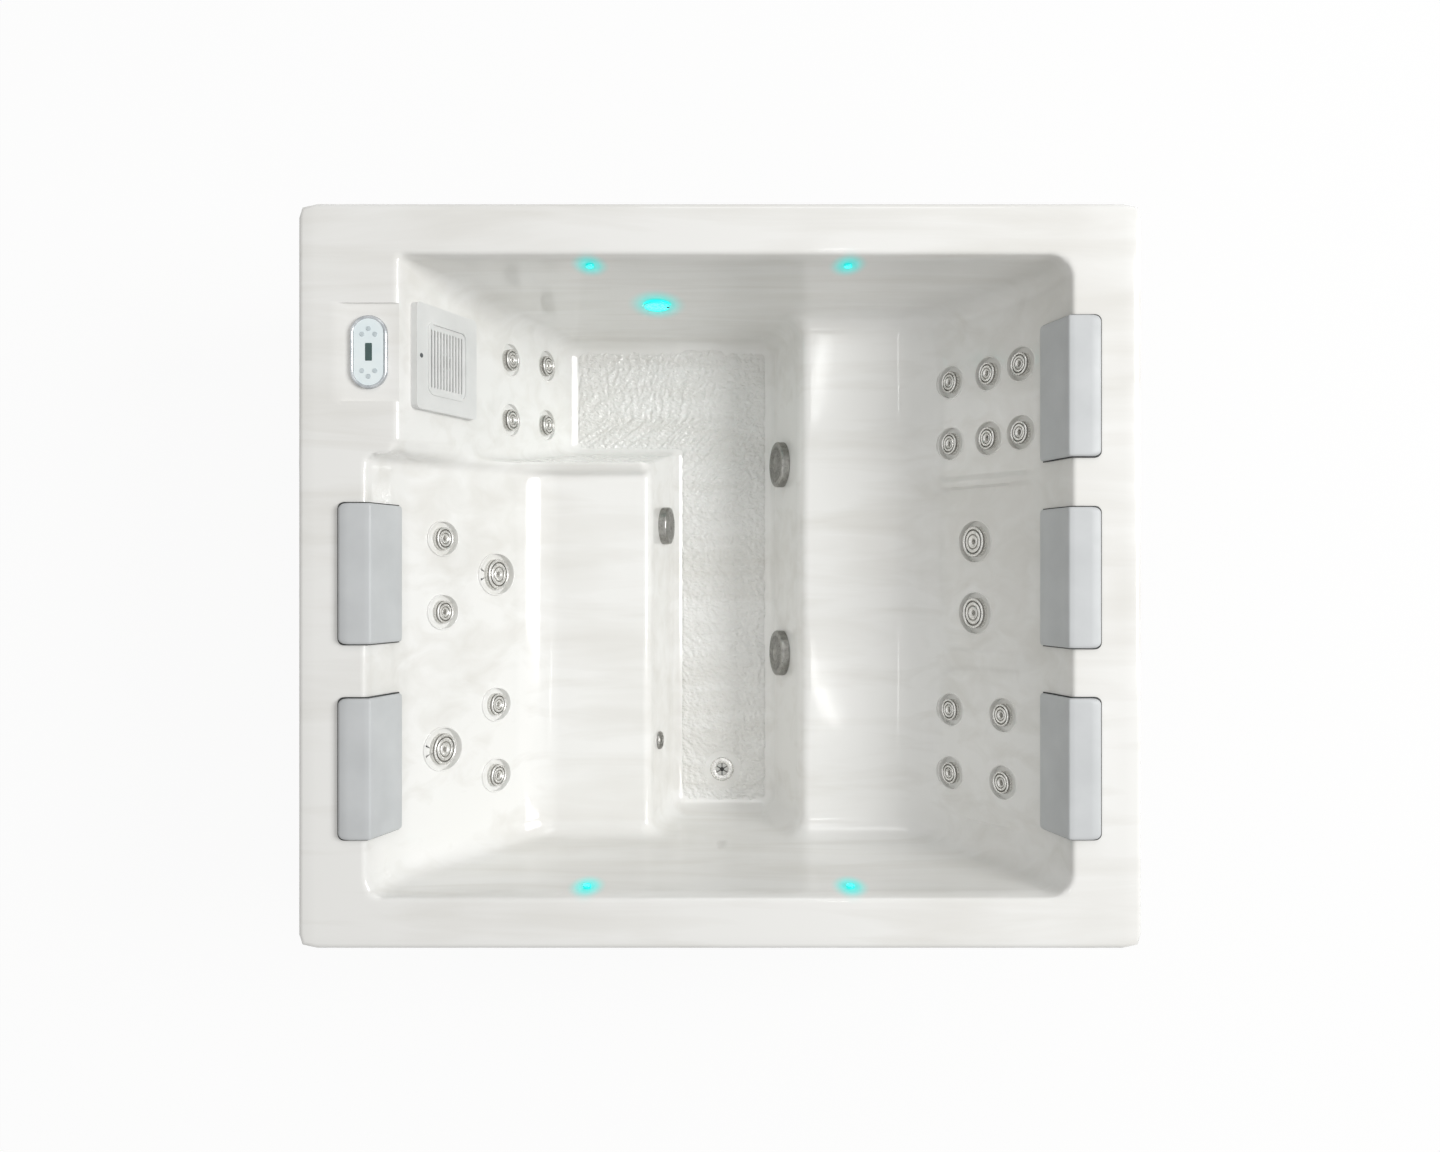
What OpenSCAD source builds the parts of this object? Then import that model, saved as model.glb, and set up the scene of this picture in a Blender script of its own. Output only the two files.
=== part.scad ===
// Five-place hot tub: a moulded shell on a timber frame, with its cabinet, water system and controls.
// Millimetres, +Z up. The origin is the middle of the floor print. Depths run down from the rim top.

/* [Overall] */
// Length of the rim along X
tub_l = 2150; // [2100:10:2300]
// Width of the rim along Y
tub_w = 1900; // [1860:10:2050]
// Height of the rim top above the ground
rim_z = 900; // [890:5:980]

/* [Shell] */
// Thickness of the moulded shell
shell_t = 10; // [8:1:14]
// Height of the lip that hangs round the rim
lip_h = 50; // [30:5:70]
// Corner radius of the rim outline
rim_r = 30; // [15:5:60]
// Corner radius of the basin opening
opening_r = 58; // [30:2:80]
// Rim edge of the left seats, from the middle
left_rim = 898; // [885:1:900]
// Rim edge of the right seats, from the middle
right_rim = 896; // [885:1:900]
// Rim edge of the entry slope, from the middle
entry_rim = 819; // [800:1:830]
// Rim edge of both end walls, from the middle
end_rim = 818; // [800:1:825]
// Depth of the steep band of the seat backs
neck_d = 130; // [110:5:150]
// Left back at the bottom of its steep band, from the middle
left_neck = 856; // [845:1:870]
// Right back at the bottom of its steep band, from the middle
right_neck = 862; // [850:1:875]
// Depth of the seats
seat_d = 480; // [460:5:500]
// Left seat where it meets its back, from the middle
left_seat = 540; // [520:5:560]
// Right seat where it meets its back, from the middle
right_seat = 613; // [590:1:630]
// Front edge of the left seat, from the middle
left_front = 207; // [190:1:230]
// Front edge of the right seat, from the middle
right_front = 243; // [225:1:260]
// End walls at seat level, from the middle
end_seat = 767; // [755:1:780]
// Depth of the footwell floor
floor_d = 780; // [760:5:790]
// Foot of the left seat front, from the middle
left_foot = 145; // [130:1:160]
// Foot of the right seat front, from the middle
right_foot = 166; // [150:1:180]
// Foot of the entry slope, from the middle
entry_foot = 484; // [460:1:500]
// End walls at the floor, from the middle
end_foot = 752; // [735:1:760]
// End of the left seat block at seat level
step_top = 339; // [325:1:350]
// End of the left seat block at the floor
step_foot = 391; // [380:1:400]
// Width of the raised curb at the end of the left seat
curb_w = 34; // [24:1:44]
// Height of that curb above the seat
curb_h = 25; // [12:1:40]

/* [Jets] */
// Radius of a small jet face
jet_s = 31; // [28:1:33]
// Radius of a large jet face
jet_l = 43; // [38:1:46]
// Free ring between a jet face and the wall of its recess
jet_ring = 15; // [12:1:18]
// Depth of a jet recess at its middle
jet_recess = 11; // [9:1:14]
// Height of a jet face above the seat back
jet_rise = 9; // [6:1:14]
// Radius of a jet nozzle
jet_nozzle = 7; // [4:1:9]
// Difference between the radius of a jet face and of its hole in the shell
jet_flange = 8; // [6:1:10]
// Wall of a jet body
jet_wall = 5; // [4:0.5:6]
// Length of a jet body behind its recess
jet_body_l = 48; // [42:1:60]
// Length of a jet stem in its body
jet_stem_l = 30; // [20:1:36]
// Elevation of the jets in the left back
left_aim = 30; // [26:1:34]
// Elevation of the jets in the right back
right_aim = 28; // [24:1:32]
// Running clearance of turning fits, on the radius
fit = 0.06; // [0.03:0.01:0.1]
// Gap between parts that stand beside each other
gap = 0.3; // [0.2:0.05:0.5]

/* [Fittings] */
// Radius of the two large suction covers
suction_l = 70; // [60:1:74]
// Radius of the small suction cover
suction_s = 57; // [50:1:64]
// Thickness of a suction cover
suction_t = 25; // [18:1:30]
// Depth of the large suction covers
suction_d = 660; // [640:5:680]
// Radius of the water return fitting
return_r = 27; // [22:1:32]
// Radius of the floor drain flange
drain_r = 38; // [32:1:44]
// Radius of a small light
lamp_s = 11; // [8:1:14]
// Radius of the main light
lamp_l = 40; // [34:1:46]
// Depth of the small lights
lamp_d = 75; // [65:5:90]
// Depth of the main light
lamp_main_d = 382; // [370:2:400]

/* [Skimmer] */
// Width of the skimmer cover along Y
cover_w = 276; // [250:2:300]
// Height of the skimmer cover along its slope
cover_h = 260; // [240:2:280]
// Thickness of the skimmer cover
cover_t = 20; // [14:1:26]
// Depth of the middle of the skimmer
skimmer_d = 165; // [160:1:180]
// Middle of the skimmer along Y
skimmer_y = 572; // [560:1:584]
// Outer radius of the filter housing
housing_r = 85; // [80:1:92]
// Length of the filter housing behind the shell
housing_l = 205; // [190:5:215]
// Outer radius of the filter cartridge
filter_r = 70; // [60:1:74]
// Number of slots in the skimmer cover
louvres = 11; // [7:1:13]

/* [Controls] */
// Width of the control pocket along X
pocket_w = 153; // [140:1:160]
// Length of the control pocket along Y
pocket_l = 251; // [230:1:270]
// Depth of the control pocket
pocket_d = 6; // [4:0.5:7]
// Middle of the control panel along X, from the middle
panel_x = 893.7; // [888:0.1:900]
// Middle of the control panel along Y
panel_y = 570; // [560:1:580]
// Width of the control bezel
bezel_w = 95; // [88:1:104]
// Length of the control bezel
bezel_l = 187; // [178:1:200]
// Side width of the control bezel
bezel_rim = 9; // [6:0.5:10]
// Height of the control bezel above its pocket
bezel_h = 11; // [9:0.5:14]
// Height of the display face above its pocket
display_h = 8; // [7:0.5:8.5]
// Radius of a control button
button_r = 6.2; // [5:0.1:7]
// Height of a button above the display face
button_rise = 1.5; // [1.2:0.1:2]
// Travel of a control button
button_travel = 1; // [0.5:0.1:1]

/* [Headrests] */
// Length of a headrest along Y
pad_l = 358; // [330:2:380]
// Reach of a headrest over the rim
pad_reach = 71; // [60:1:80]
// Height of a headrest above the rim
pad_rise = 18; // [14:1:24]
// Height of the bottom of a headrest above the bottom of the steep band
pad_end = 2; // [1:1:12]
// Thickness of a headrest on the seat back
pad_t = 16; // [12:1:24]
// Radius of a headrest pin
pin_r = 5; // [4:0.5:6]
// Length of a headrest pin below the pad
pin_l = 28; // [20:1:34]
// Distance of the headrest pins from the middle of the pad
pin_y = 110; // [80:5:140]

/* [Cabinet] */
// Distance from the rim edge in to the cabinet panels
inset = 25; // [22:1:32]
// Thickness of a cabinet panel
panel_t = 10; // [8:1:12]
// Height of the base pan wall
pan_h = 60; // [45:5:70]
// Thickness of the base pan floor
pan_floor = 8; // [6:1:10]
// Thickness of the base pan wall
pan_t = 6; // [4:1:8]
// Gap between the panel tops and the bottom of the lip
panel_top_gap = 2; // [1:1:6]
// Leg of a corner cover
corner_leg = 60; // [45:5:75]
// Thickness of a corner cover
corner_t = 5; // [3:0.5:6]
// Side of the frame timbers
timber = 60; // [50:5:62]
// Width of the seat beams and studs
beam = 45; // [38:1:50]
// Diameter of the power conduit hole in the base pan
conduit_d = 32; // [25:1:40]

/* [Water system] */
// Radius of the supply headers
header_r = 25; // [20:1:27]
// Radius of the pipes that rise from a header
riser_r = 20; // [17:1:22]
// Height of the supply headers above the ground
header_z = 98; // [96:1:100]
// Left header, from the middle
left_header = 900; // [892:1:905]
// Right header, from the middle
right_header = 945; // [940:1:950]
// Outer radius of a jet hose
hose_r = 15; // [14:0.5:16]
// Radius of a hose barb
barb_r = 12; // [10:0.5:12.5]
// Length of a hose barb
barb_l = 24; // [20:1:28]
// Radius of the pump motor
motor_r = 80; // [70:1:85]
// Length of the pump motor
motor_l = 250; // [220:5:260]
// Radius of the pump wet end
wet_r = 88; // [82:1:92]
// Length of the pump wet end
wet_l = 120; // [110:5:130]
// Radius of the pump shaft
shaft_r = 8; // [6:0.5:10]
// Radius of the heater tube
heater_r = 31; // [28:1:36]
// Length of the heater tube
heater_l = 300; // [280:5:310]

/* [Hidden] */
$fn = 48;
// Depths and heights that follow from the sizes above
seat_z = rim_z - seat_d;
floor_z = rim_z - floor_d;
neck_z = rim_z - neck_d;
under_z = floor_z - shell_t;
slab_z = rim_z - shell_t;
cut = 60;
far = tub_l;
// Outer and inner faces of the cabinet
cab_x = tub_l / 2 - inset;
cab_y = tub_w / 2 - inset;
frame_x = cab_x - panel_t;
frame_y = cab_y - panel_t;
panel_top = rim_z - lip_h - panel_top_gap;
panel_x1 = cab_x + corner_t - corner_leg - gap;
panel_y1 = cab_y + corner_t - corner_leg - gap;
// Angles of the walls from upright
entry_lean = atan((entry_rim - entry_foot) / floor_d);
left_front_lean = atan((left_front - left_foot) / (floor_d - seat_d));
right_front_lean = atan((right_front - right_foot) / (floor_d - seat_d));
end_lean = atan((end_rim - end_seat) / seat_d);

function mix(a, b, t) = a + (b - a) * t;
function left_wall(d) = -mix(left_neck, left_seat, (d - neck_d) / (seat_d - neck_d));
function right_wall(d) = mix(right_neck, right_seat, (d - neck_d) / (seat_d - neck_d));
function entry_wall(d) = -mix(entry_rim, entry_foot, d / floor_d);
function end_wall(d) = mix(end_rim, end_seat, d / seat_d);
function left_face(d) = -mix(left_front, left_foot, (d - seat_d) / (floor_d - seat_d));
function right_face(d) = mix(right_front, right_foot, (d - seat_d) / (floor_d - seat_d));

// Places of the jets: depth below the rim, place along Y, radius of the face
left_spots = [
  [236, 103, jet_s],
  [236, -99, jet_s],
  [370, 5, jet_l],
  [370, -368, jet_s],
  [236, -476, jet_l],
  [370, -571, jet_s]
];
entry_spots = [
  [469, 638, jet_s],
  [652, 654, jet_s],
  [469, 461, jet_s],
  [652, 470, jet_s]
];
right_spots = [
  [195, 576, jet_s],
  [288, 566, jet_s],
  [403, 561, jet_s],
  [195, 390, jet_s],
  [288, 385, jet_s],
  [403, 383, jet_s],
  [328, 97, jet_l],
  [328, -105, jet_l],
  [246, -384, jet_s],
  [403, -387, jet_s],
  [246, -570, jet_s],
  [403, -570, jet_s]
];

// One jet: x, y, z, elevation, way it faces (1 is +X), face radius, header that feeds it
function left_jet(s) = [left_wall(s[0]), s[1], rim_z - s[0], left_aim, 1, s[2], -left_header];
function entry_jet(s) = [entry_wall(s[0]), s[1], rim_z - s[0], entry_lean, 1, s[2], -left_header];
function right_jet(s) = [right_wall(s[0]), s[1], rim_z - s[0], right_aim, -1, s[2], right_header];
left_jets = [for (s = left_spots) left_jet(s)];
entry_jets = [for (s = entry_spots) entry_jet(s)];
right_jets = [for (s = right_spots) right_jet(s)];
jets = concat(left_jets, entry_jets, right_jets);
// Distance from a jet back along its axis to the riser that feeds it
function reach(j) = abs(j[6] - j[0]) / cos(j[3]);
// Height at which a jet axis meets its riser
function meet(j) = j[2] - reach(j) * sin(j[3]);
// Risers: header, place along Y, the jets on it
risers = [
  [-left_header, 103, [left_jets[0]]],
  [-left_header, 5, [left_jets[2]]],
  [-left_header, -99, [left_jets[1]]],
  [-left_header, -368, [left_jets[3]]],
  [-left_header, -476, [left_jets[4]]],
  [-left_header, -571, [left_jets[5]]],
  [-left_header, 640, [entry_jets[0], entry_jets[1]]],
  [-left_header, 463, [entry_jets[2], entry_jets[3]]],
  [right_header, 570, [right_jets[0], right_jets[1], right_jets[2]]],
  [right_header, 386, [right_jets[3], right_jets[4], right_jets[5]]],
  [right_header, 97, [right_jets[6]]],
  [right_header, -105, [right_jets[7]]],
  [right_header, -385, [right_jets[8], right_jets[9]]],
  [right_header, -570, [right_jets[10], right_jets[11]]]
];

// Suction covers: x, y, z, elevation, way it faces, radius
suctions = [
  [right_face(suction_d), 347, rim_z - suction_d, right_front_lean, -1, suction_l],
  [right_face(suction_d), -240, rim_z - suction_d, right_front_lean, -1, suction_l],
  [left_face(628), 155, rim_z - 628, left_front_lean, 1, suction_s]
];
return_at = [left_face(580), -501, rim_z - 580, left_front_lean, 1, return_r];
suction_hole = 32;
return_hole = 18;
fitting_back = 40;
drain_at = [6.5, -623];
drain_hole = 24;

// Lights on the end walls: x, depth, side (1 is +Y), radius
lamps = [
  [-340, lamp_d, 1, lamp_s],
  [334, lamp_d, 1, lamp_s],
  [-347, lamp_d, -1, lamp_s],
  [340, lamp_d, -1, lamp_s],
  [-181, lamp_main_d, 1, lamp_l]
];
lamp_hole = 0.7;
lamp_rise = 4;

// Skimmer and control places
skimmer_axis = [entry_wall(skimmer_d), skimmer_y, rim_z - skimmer_d, entry_lean, 1];
housing_t = 4;
outlet_l = 15;
pocket_x = entry_rim + pocket_w;
pocket_z = rim_z - pocket_d;
bevel = 20;
display_w = bezel_w - 2 * bezel_rim - 2 * gap;
display_l = bezel_l - 2 * bezel_rim * 0.65 - 2 * gap;
controls_w = 60;
controls_l = 150;
controls_d = 26;
button_spots = [[-16.5, 45], [0, 59], [16.5, 45], [-16.5, -48], [0, -62], [16.5, -48]];
button_depth = display_h - 2;

// Drop of the headrests below the rim
pad_drop = neck_d - pad_end;
// Headrests: side (1 is +X), middle along Y
pads = [[-1, 6], [-1, -490], [1, 483], [1, -4], [1, -489.5]];
pad_names = ["left_upper", "left_lower", "right_upper", "right_middle", "right_lower"];

// Joists under the footwell, along Y
joists = [-520, 0, 600];

// Pump axis, heater and drain line
pump_x = -650;
pump_z = 150;
motor_y = -50;
wet_y = motor_y - motor_l;
heater_z = 305;
heater_y = -285;
heater_run_r = 22;
// Drain line: its valve stands on the bottom rail and its spout passes the service panel
drain_line_y = -655;
drain_line_r = 14;
drain_line_z = pan_floor + timber + 20;
spout_hole = 24;
valve_x = -frame_x + timber;

// Corner points of a rectangle with round corners, in the plane
function round_box(l, w, r, n = 6) = [
  for (k = [0:3], i = [0:n])
    let (a = 90 * k + 90 * i / n, sx = (k == 0 || k == 3) ? 1 : -1, sy = k < 2 ? 1 : -1)
      [sx * (l / 2 - r) + r * cos(a), sy * (w / 2 - r) + r * sin(a)]
];

// Extrude an outline drawn in X and Z from y0 to y1
module along_y(y0, y1) {
  translate([0, y1, 0]) rotate([90, 0, 0]) linear_extrude(y1 - y0) children();
}

// Extrude an outline drawn in Y and Z from x0 to x1
module along_x(x0, x1) {
  translate([x0, 0, 0]) rotate([90, 0, 90]) linear_extrude(x1 - x0) children();
}

// Stand children on a side wall, with +Z along the axis of the fitting
module on_wall(p) {
  translate([p[0], p[1], p[2]]) rotate([0, p[4] * (90 - p[3]), 0]) children();
}

// Stand children on an end wall at a light
module on_end(p) {
  translate([p[0], p[2] * end_wall(p[1]), rim_z - p[1]])
    rotate([p[2] * (90 - end_lean), 0, 0]) children();
}

module tube(r, hole, h) {
  difference() {
    cylinder(r = r, h = h);
    translate([0, 0, -1]) cylinder(r = hole, h = h + 2);
  }
}

module box(x0, x1, y0, y1, z0, z1) {
  translate([x0, y0, z0]) cube([x1 - x0, y1 - y0, z1 - z0]);
}

// Outline of the left seat and its back, as far as the middle of the footwell
module seat_outline() {
  polygon([
    [-left_rim, rim_z + cut],
    [-left_rim, rim_z],
    [-left_neck, neck_z],
    [-left_seat, seat_z],
    [0, seat_z],
    [0, rim_z + cut]
  ]);
}

// Outline of the entry slope, as far as the middle of the footwell
module entry_outline() {
  polygon([
    [-entry_rim, rim_z + cut],
    [-entry_rim, rim_z],
    [-entry_foot, floor_z],
    [0, floor_z],
    [0, rim_z + cut]
  ]);
}

// Outline of the footwell and the right seat, which run from end wall to end wall
module main_outline() {
  polygon([
    [-left_front, rim_z + cut],
    [-left_front, seat_z],
    [-left_foot, floor_z],
    [right_foot, floor_z],
    [right_front, seat_z],
    [right_seat, seat_z],
    [right_neck, neck_z],
    [right_rim, rim_z],
    [right_rim, rim_z + cut]
  ]);
}

// Outline of the basin from end wall to end wall
module end_outline() {
  polygon([
    [-end_rim, rim_z + cut],
    [-end_rim, rim_z],
    [-end_seat, seat_z],
    [-end_foot, floor_z],
    [end_foot, floor_z],
    [end_seat, seat_z],
    [end_rim, rim_z],
    [end_rim, rim_z + cut]
  ]);
}

// Everything beyond the end face of the left seat block
module beyond_step() {
  polygon([
    [step_top, rim_z + cut],
    [step_top, seat_z],
    [step_foot, floor_z],
    [far, floor_z],
    [far, rim_z + cut]
  ]);
}

// The hollow of the basin with each wall moved out by grow
module basin(grow) {
  intersection() {
    union() {
      along_y(-far, far) offset(delta = grow) main_outline();
      along_y(-far, step_top - curb_w + grow) offset(delta = grow) seat_outline();
      intersection() {
        along_y(-far, step_top + grow) offset(delta = grow) seat_outline();
        box(-far, 0, -far, far, seat_z + curb_h - grow, rim_z + 2 * cut);
      }
      intersection() {
        along_y(-far, far) offset(delta = grow) entry_outline();
        along_x(-far, far) offset(delta = grow) beyond_step();
      }
    }
    along_x(-far, far) offset(delta = grow) end_outline();
    translate([(right_rim - left_rim) / 2, 0, 0])
      linear_extrude(rim_z + 2 * cut)
        polygon(round_box(left_rim + right_rim + 2 * grow, 2 * (end_rim + grow), opening_r + grow));
  }
}

module tub_shell() {
  color("whitesmoke")
    difference() {
      union() {
        intersection() {
          basin(shell_t);
          box(-far, far, -far, far, 0, rim_z);
        }
        rim_plate();
        for (j = jets)
          on_wall(j) translate([0, 0, -jet_recess - shell_t])
            cylinder(r = j[5] + jet_ring + shell_t, h = jet_recess + shell_t + 2);
        box(-frame_x + timber + gap, -entry_rim, panel_y - pocket_l / 2 - shell_t,
          panel_y + pocket_l / 2 + shell_t, pocket_z - shell_t, rim_z);
      }
      basin(0);
      for (j = jets) on_wall(j) jet_cut(j[5]);
      for (s = suctions)
        on_wall(s) translate([0, 0, -cut]) cylinder(r = suction_hole, h = cut + 1);
      on_wall(return_at) translate([0, 0, -cut]) cylinder(r = return_hole, h = cut + 1);
      translate([drain_at[0], drain_at[1], 0]) cylinder(r = drain_hole, h = floor_z + 1);
      for (p = lamps) on_end(p) translate([0, 0, -cut]) cylinder(r = lamp_hole * p[3], h = cut + 1);
      on_wall(skimmer_axis) translate([0, 0, -cut]) cylinder(r = housing_r + gap, h = 2 * cut);
      control_pocket();
      for (p = pads, s = [-1, 1])
        translate([pin_x(p[0]), p[1] + s * pin_y, slab_z - 1])
          cylinder(r = pin_r + gap, h = shell_t + 2);
    }
}

// Flat rim with its hanging lip
module rim_plate() {
  translate([0, 0, slab_z]) linear_extrude(shell_t) polygon(round_box(tub_l, tub_w, rim_r));
  difference() {
    translate([0, 0, rim_z - lip_h]) linear_extrude(lip_h) polygon(round_box(tub_l, tub_w, rim_r));
    translate([0, 0, rim_z - lip_h - 1])
      linear_extrude(lip_h + 1)
        polygon(round_box(tub_l - 2 * shell_t, tub_w - 2 * shell_t, rim_r - shell_t));
  }
}

// Recess and hole of a jet in the shell
module jet_cut(r) {
  translate([0, 0, -jet_recess]) cylinder(r = r + jet_ring, h = jet_recess + cut);
  translate([0, 0, -cut]) cylinder(r = r - jet_flange, h = cut);
}

// Shallow pocket for the control panel, with one sloped side and a slot for its electronics
module control_pocket() {
  along_y(panel_y - pocket_l / 2, panel_y + pocket_l / 2)
    polygon([
      [-pocket_x, rim_z + 1],
      [-pocket_x, rim_z],
      [-pocket_x + bevel, pocket_z],
      [-entry_rim + cut, pocket_z],
      [-entry_rim + cut, rim_z + 1]
    ]);
  translate([-panel_x, panel_y, slab_z - cut])
    linear_extrude(2 * cut) square([controls_w + 2 * gap, controls_l + 2 * gap], center = true);
}

module base_pan() {
  color("dimgray")
    difference() {
      linear_extrude(pan_h) square([2 * (frame_x + pan_t), 2 * (frame_y + pan_t)], center = true);
      translate([0, 0, pan_floor])
        linear_extrude(pan_h) square([2 * frame_x, 2 * frame_y], center = true);
      translate([-frame_x + 2 * timber, -frame_y + 2 * timber, -1])
        cylinder(d = conduit_d, h = pan_floor + 2);
    }
}

// Timber frame: posts, rails, joists under the footwell, beams under the seats
module support_frame() {
  color("burlywood") {
    for (sx = [-1, 1], sy = [-1, 1])
      translate([sx * (frame_x - timber / 2), sy * (frame_y - timber / 2), pan_floor])
        linear_extrude(slab_z - pan_floor) square(timber, center = true);
    ring(pan_floor);
    ring(slab_z - timber);
    for (y = joists) {
      box(-frame_x, frame_x, y - timber / 2, y + timber / 2, pan_floor, pan_floor + timber);
      box(-left_foot + 10, right_foot - 10, y - timber / 2, y + timber / 2, pan_floor, under_z);
    }
    seat_beam(-400, step_top - curb_w - 60, [-590, 0]);
    seat_beam(420, end_seat - 60, [-590, 0, 600]);
    box(-frame_x, -frame_x + 40, -frame_y, frame_y, 420, 480);
  }
}

// A ring of rails at height z
module ring(z) {
  translate([0, 0, z]) linear_extrude(timber)
    difference() {
      square([2 * frame_x, 2 * frame_y], center = true);
      square([2 * (frame_x - timber), 2 * (frame_y - timber)], center = true);
    }
}

// A beam under a seat, from the -Y end wall to y1, on studs
module seat_beam(x, y1, studs) {
  top = seat_z - shell_t;
  box(x, x + beam, -end_seat + 60, y1, top - beam, top);
  for (y = studs) box(x, x + beam, y - timber / 2, y + timber / 2, pan_floor, top);
}

// Cabinet panel along X, between two corner covers
module long_panel(side) {
  y0 = side > 0 ? frame_y : -cab_y;
  box(-panel_x1, panel_x1, y0, y0 + panel_t, pan_h, panel_top);
}

module panel_front() {
  color("saddlebrown") long_panel(-1);
}

module panel_rear() {
  color("saddlebrown") long_panel(1);
}

module panel_right() {
  color("saddlebrown") box(frame_x, cab_x, -panel_y1, panel_y1, pan_h, panel_top);
}

// Removable panel on the left, with four screws that stay in it
module service_panel() {
  color("saddlebrown") {
    difference() {
      box(-cab_x, -frame_x - gap, -panel_y1, panel_y1, pan_h + gap, panel_top);
      service_screws() cylinder(r = 4 + gap, h = panel_t);
      translate([-cab_x - 1, drain_line_y, drain_line_z])
        rotate([0, 90, 0]) cylinder(r = spout_hole, h = panel_t + 2);
    }
  }
  color("silver") service_screws() {
    translate([0, 0, -gap - 1]) cylinder(r = 4, h = panel_t + 1);
    translate([0, 0, -gap - 3]) cylinder(r = 9, h = 3);
  }
}

// Places of the service panel screws, +Z pointing into the cabinet
module service_screws() {
  for (y = [-600, 600], z = [pan_h + 60, panel_top - 120])
    translate([-cab_x, y, z]) rotate([0, 90, 0]) children();
}

module corner_covers() {
  color("black")
    for (sx = [0, 1], sy = [0, 1]) mirror([sx, 0, 0]) mirror([0, sy, 0])
      difference() {
        box(cab_x + corner_t - corner_leg, cab_x + corner_t, cab_y + corner_t - corner_leg,
          cab_y + corner_t, pan_h, panel_top);
        box(0, frame_x, 0, frame_y, 0, rim_z);
      }
}

// Fixed body of a jet: flange in the recess, sleeve through the shell, nut and hose barb
module jet_body(r) {
  hole = r - jet_flange;
  back = -jet_recess - shell_t - jet_body_l;
  difference() {
    union() {
      translate([0, 0, -jet_recess]) cylinder(r = r, h = 4);
      translate([0, 0, back]) cylinder(r = hole - gap, h = -back - jet_recess);
      translate([0, 0, -jet_recess - shell_t - 10]) cylinder(r = hole + 8, h = 10);
      translate([0, 0, back - barb_l]) cylinder(r = barb_r, h = barb_l);
    }
    translate([0, 0, back + jet_wall]) cylinder(r = hole - gap - jet_wall, h = -back);
    translate([0, 0, back - barb_l - 1]) cylinder(r = barb_r - 3, h = barb_l + jet_wall + 2);
  }
}

module jet_bodies() {
  color("gainsboro") for (j = jets) on_wall(j) jet_body(j[5]);
}

// Turning face of a jet: ringed disc with finger notches, on a hollow stem
module jet(j) {
  r = j[5];
  base = -jet_recess + 4 + gap;
  stem = r - jet_flange - gap - jet_wall - fit;
  color("silver")
    on_wall(j)
      difference() {
        rotate_extrude()
          polygon([
            [jet_nozzle, base - jet_stem_l],
            [stem, base - jet_stem_l],
            [stem, base],
            [r, base],
            [r, jet_rise - 3],
            [r - 3, jet_rise],
            [r * 0.74, jet_rise],
            [r * 0.7, jet_rise - 4],
            [r * 0.56, jet_rise - 4],
            [r * 0.5, jet_rise - 1],
            [r * 0.34, jet_rise - 1],
            [jet_nozzle, jet_rise - 7]
          ]);
        for (a = [0:60:300])
          rotate(a) translate([r, 0, jet_rise - 6]) cylinder(r = 3, h = 8);
      }
}

// Straight hose from each jet body to the stub on its riser
module jet_hoses() {
  color("lightgray")
    for (j = jets) {
      start = jet_recess + shell_t + jet_body_l + 2;
      end = reach(j) - header_r - 8;
      on_wall(j) translate([0, 0, -end]) tube(hose_r, barb_r + gap, end - start);
    }
}

// Domed grille over a suction hole, with a spigot through the shell
module suction_cover(r) {
  difference() {
    union() {
      rotate_extrude()
        polygon([
          [0, gap],
          [r, gap],
          [r, suction_t * 0.55],
          [r - 7, suction_t],
          [0, suction_t]
        ]);
      translate([0, 0, -fitting_back]) cylinder(r = suction_hole - gap, h = fitting_back + 1);
      translate([0, 0, -shell_t - 12]) cylinder(r = suction_hole + 9, h = 12 - gap);
    }
    translate([0, 0, -fitting_back - 1])
      cylinder(r = suction_hole - gap - 5, h = fitting_back + suction_t - 5);
    translate([0, 0, 6])
      difference() {
        cylinder(r = r - 7, h = suction_t - 12);
        translate([0, 0, -1]) cylinder(r = suction_hole + 3, h = suction_t);
      }
    for (a = [0:30:330])
      rotate(a) {
        translate([r - 16, 0, suction_t - 8]) cylinder(r = 4, h = 9);
        translate([(r - 16) * 0.6, 0, suction_t - 16]) cylinder(r = 3, h = 17);
      }
  }
}

module suction_covers() {
  color("silver") for (s = suctions) on_wall(s) suction_cover(s[5]);
}

module return_fitting() {
  color("silver")
    on_wall(return_at)
      difference() {
        union() {
          translate([0, 0, gap]) cylinder(r1 = return_r, r2 = return_r - 5, h = 10);
          translate([0, 0, -fitting_back]) cylinder(r = return_hole - gap, h = fitting_back + 1);
          translate([0, 0, -shell_t - 10]) cylinder(r = return_hole + 7, h = 10 - gap);
        }
        translate([0, 0, -fitting_back - 1]) cylinder(r = return_hole - gap - 5, h = fitting_back + 20);
      }
}

// Floor drain: flange with slots over a sump, tail and side outlet below the shell
module floor_drain() {
  tail = floor_z - drain_line_z - drain_line_r - 2;
  color("silver")
    translate([drain_at[0], drain_at[1], floor_z])
      difference() {
        union() {
          translate([0, 0, gap]) cylinder(r1 = drain_r, r2 = drain_r - 4, h = 6);
          translate([0, 0, -tail]) cylinder(r = drain_hole - gap, h = tail + 1);
          translate([0, 0, -tail]) cylinder(r = drain_hole + 8, h = tail - shell_t - gap);
        }
        for (a = [0:60:300]) rotate(a) translate([12, 0, -2]) cylinder(r = 3.5, h = 12);
        translate([0, 0, -tail - 1]) cylinder(r = drain_hole - gap - 5, h = tail);
      }
}

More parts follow.
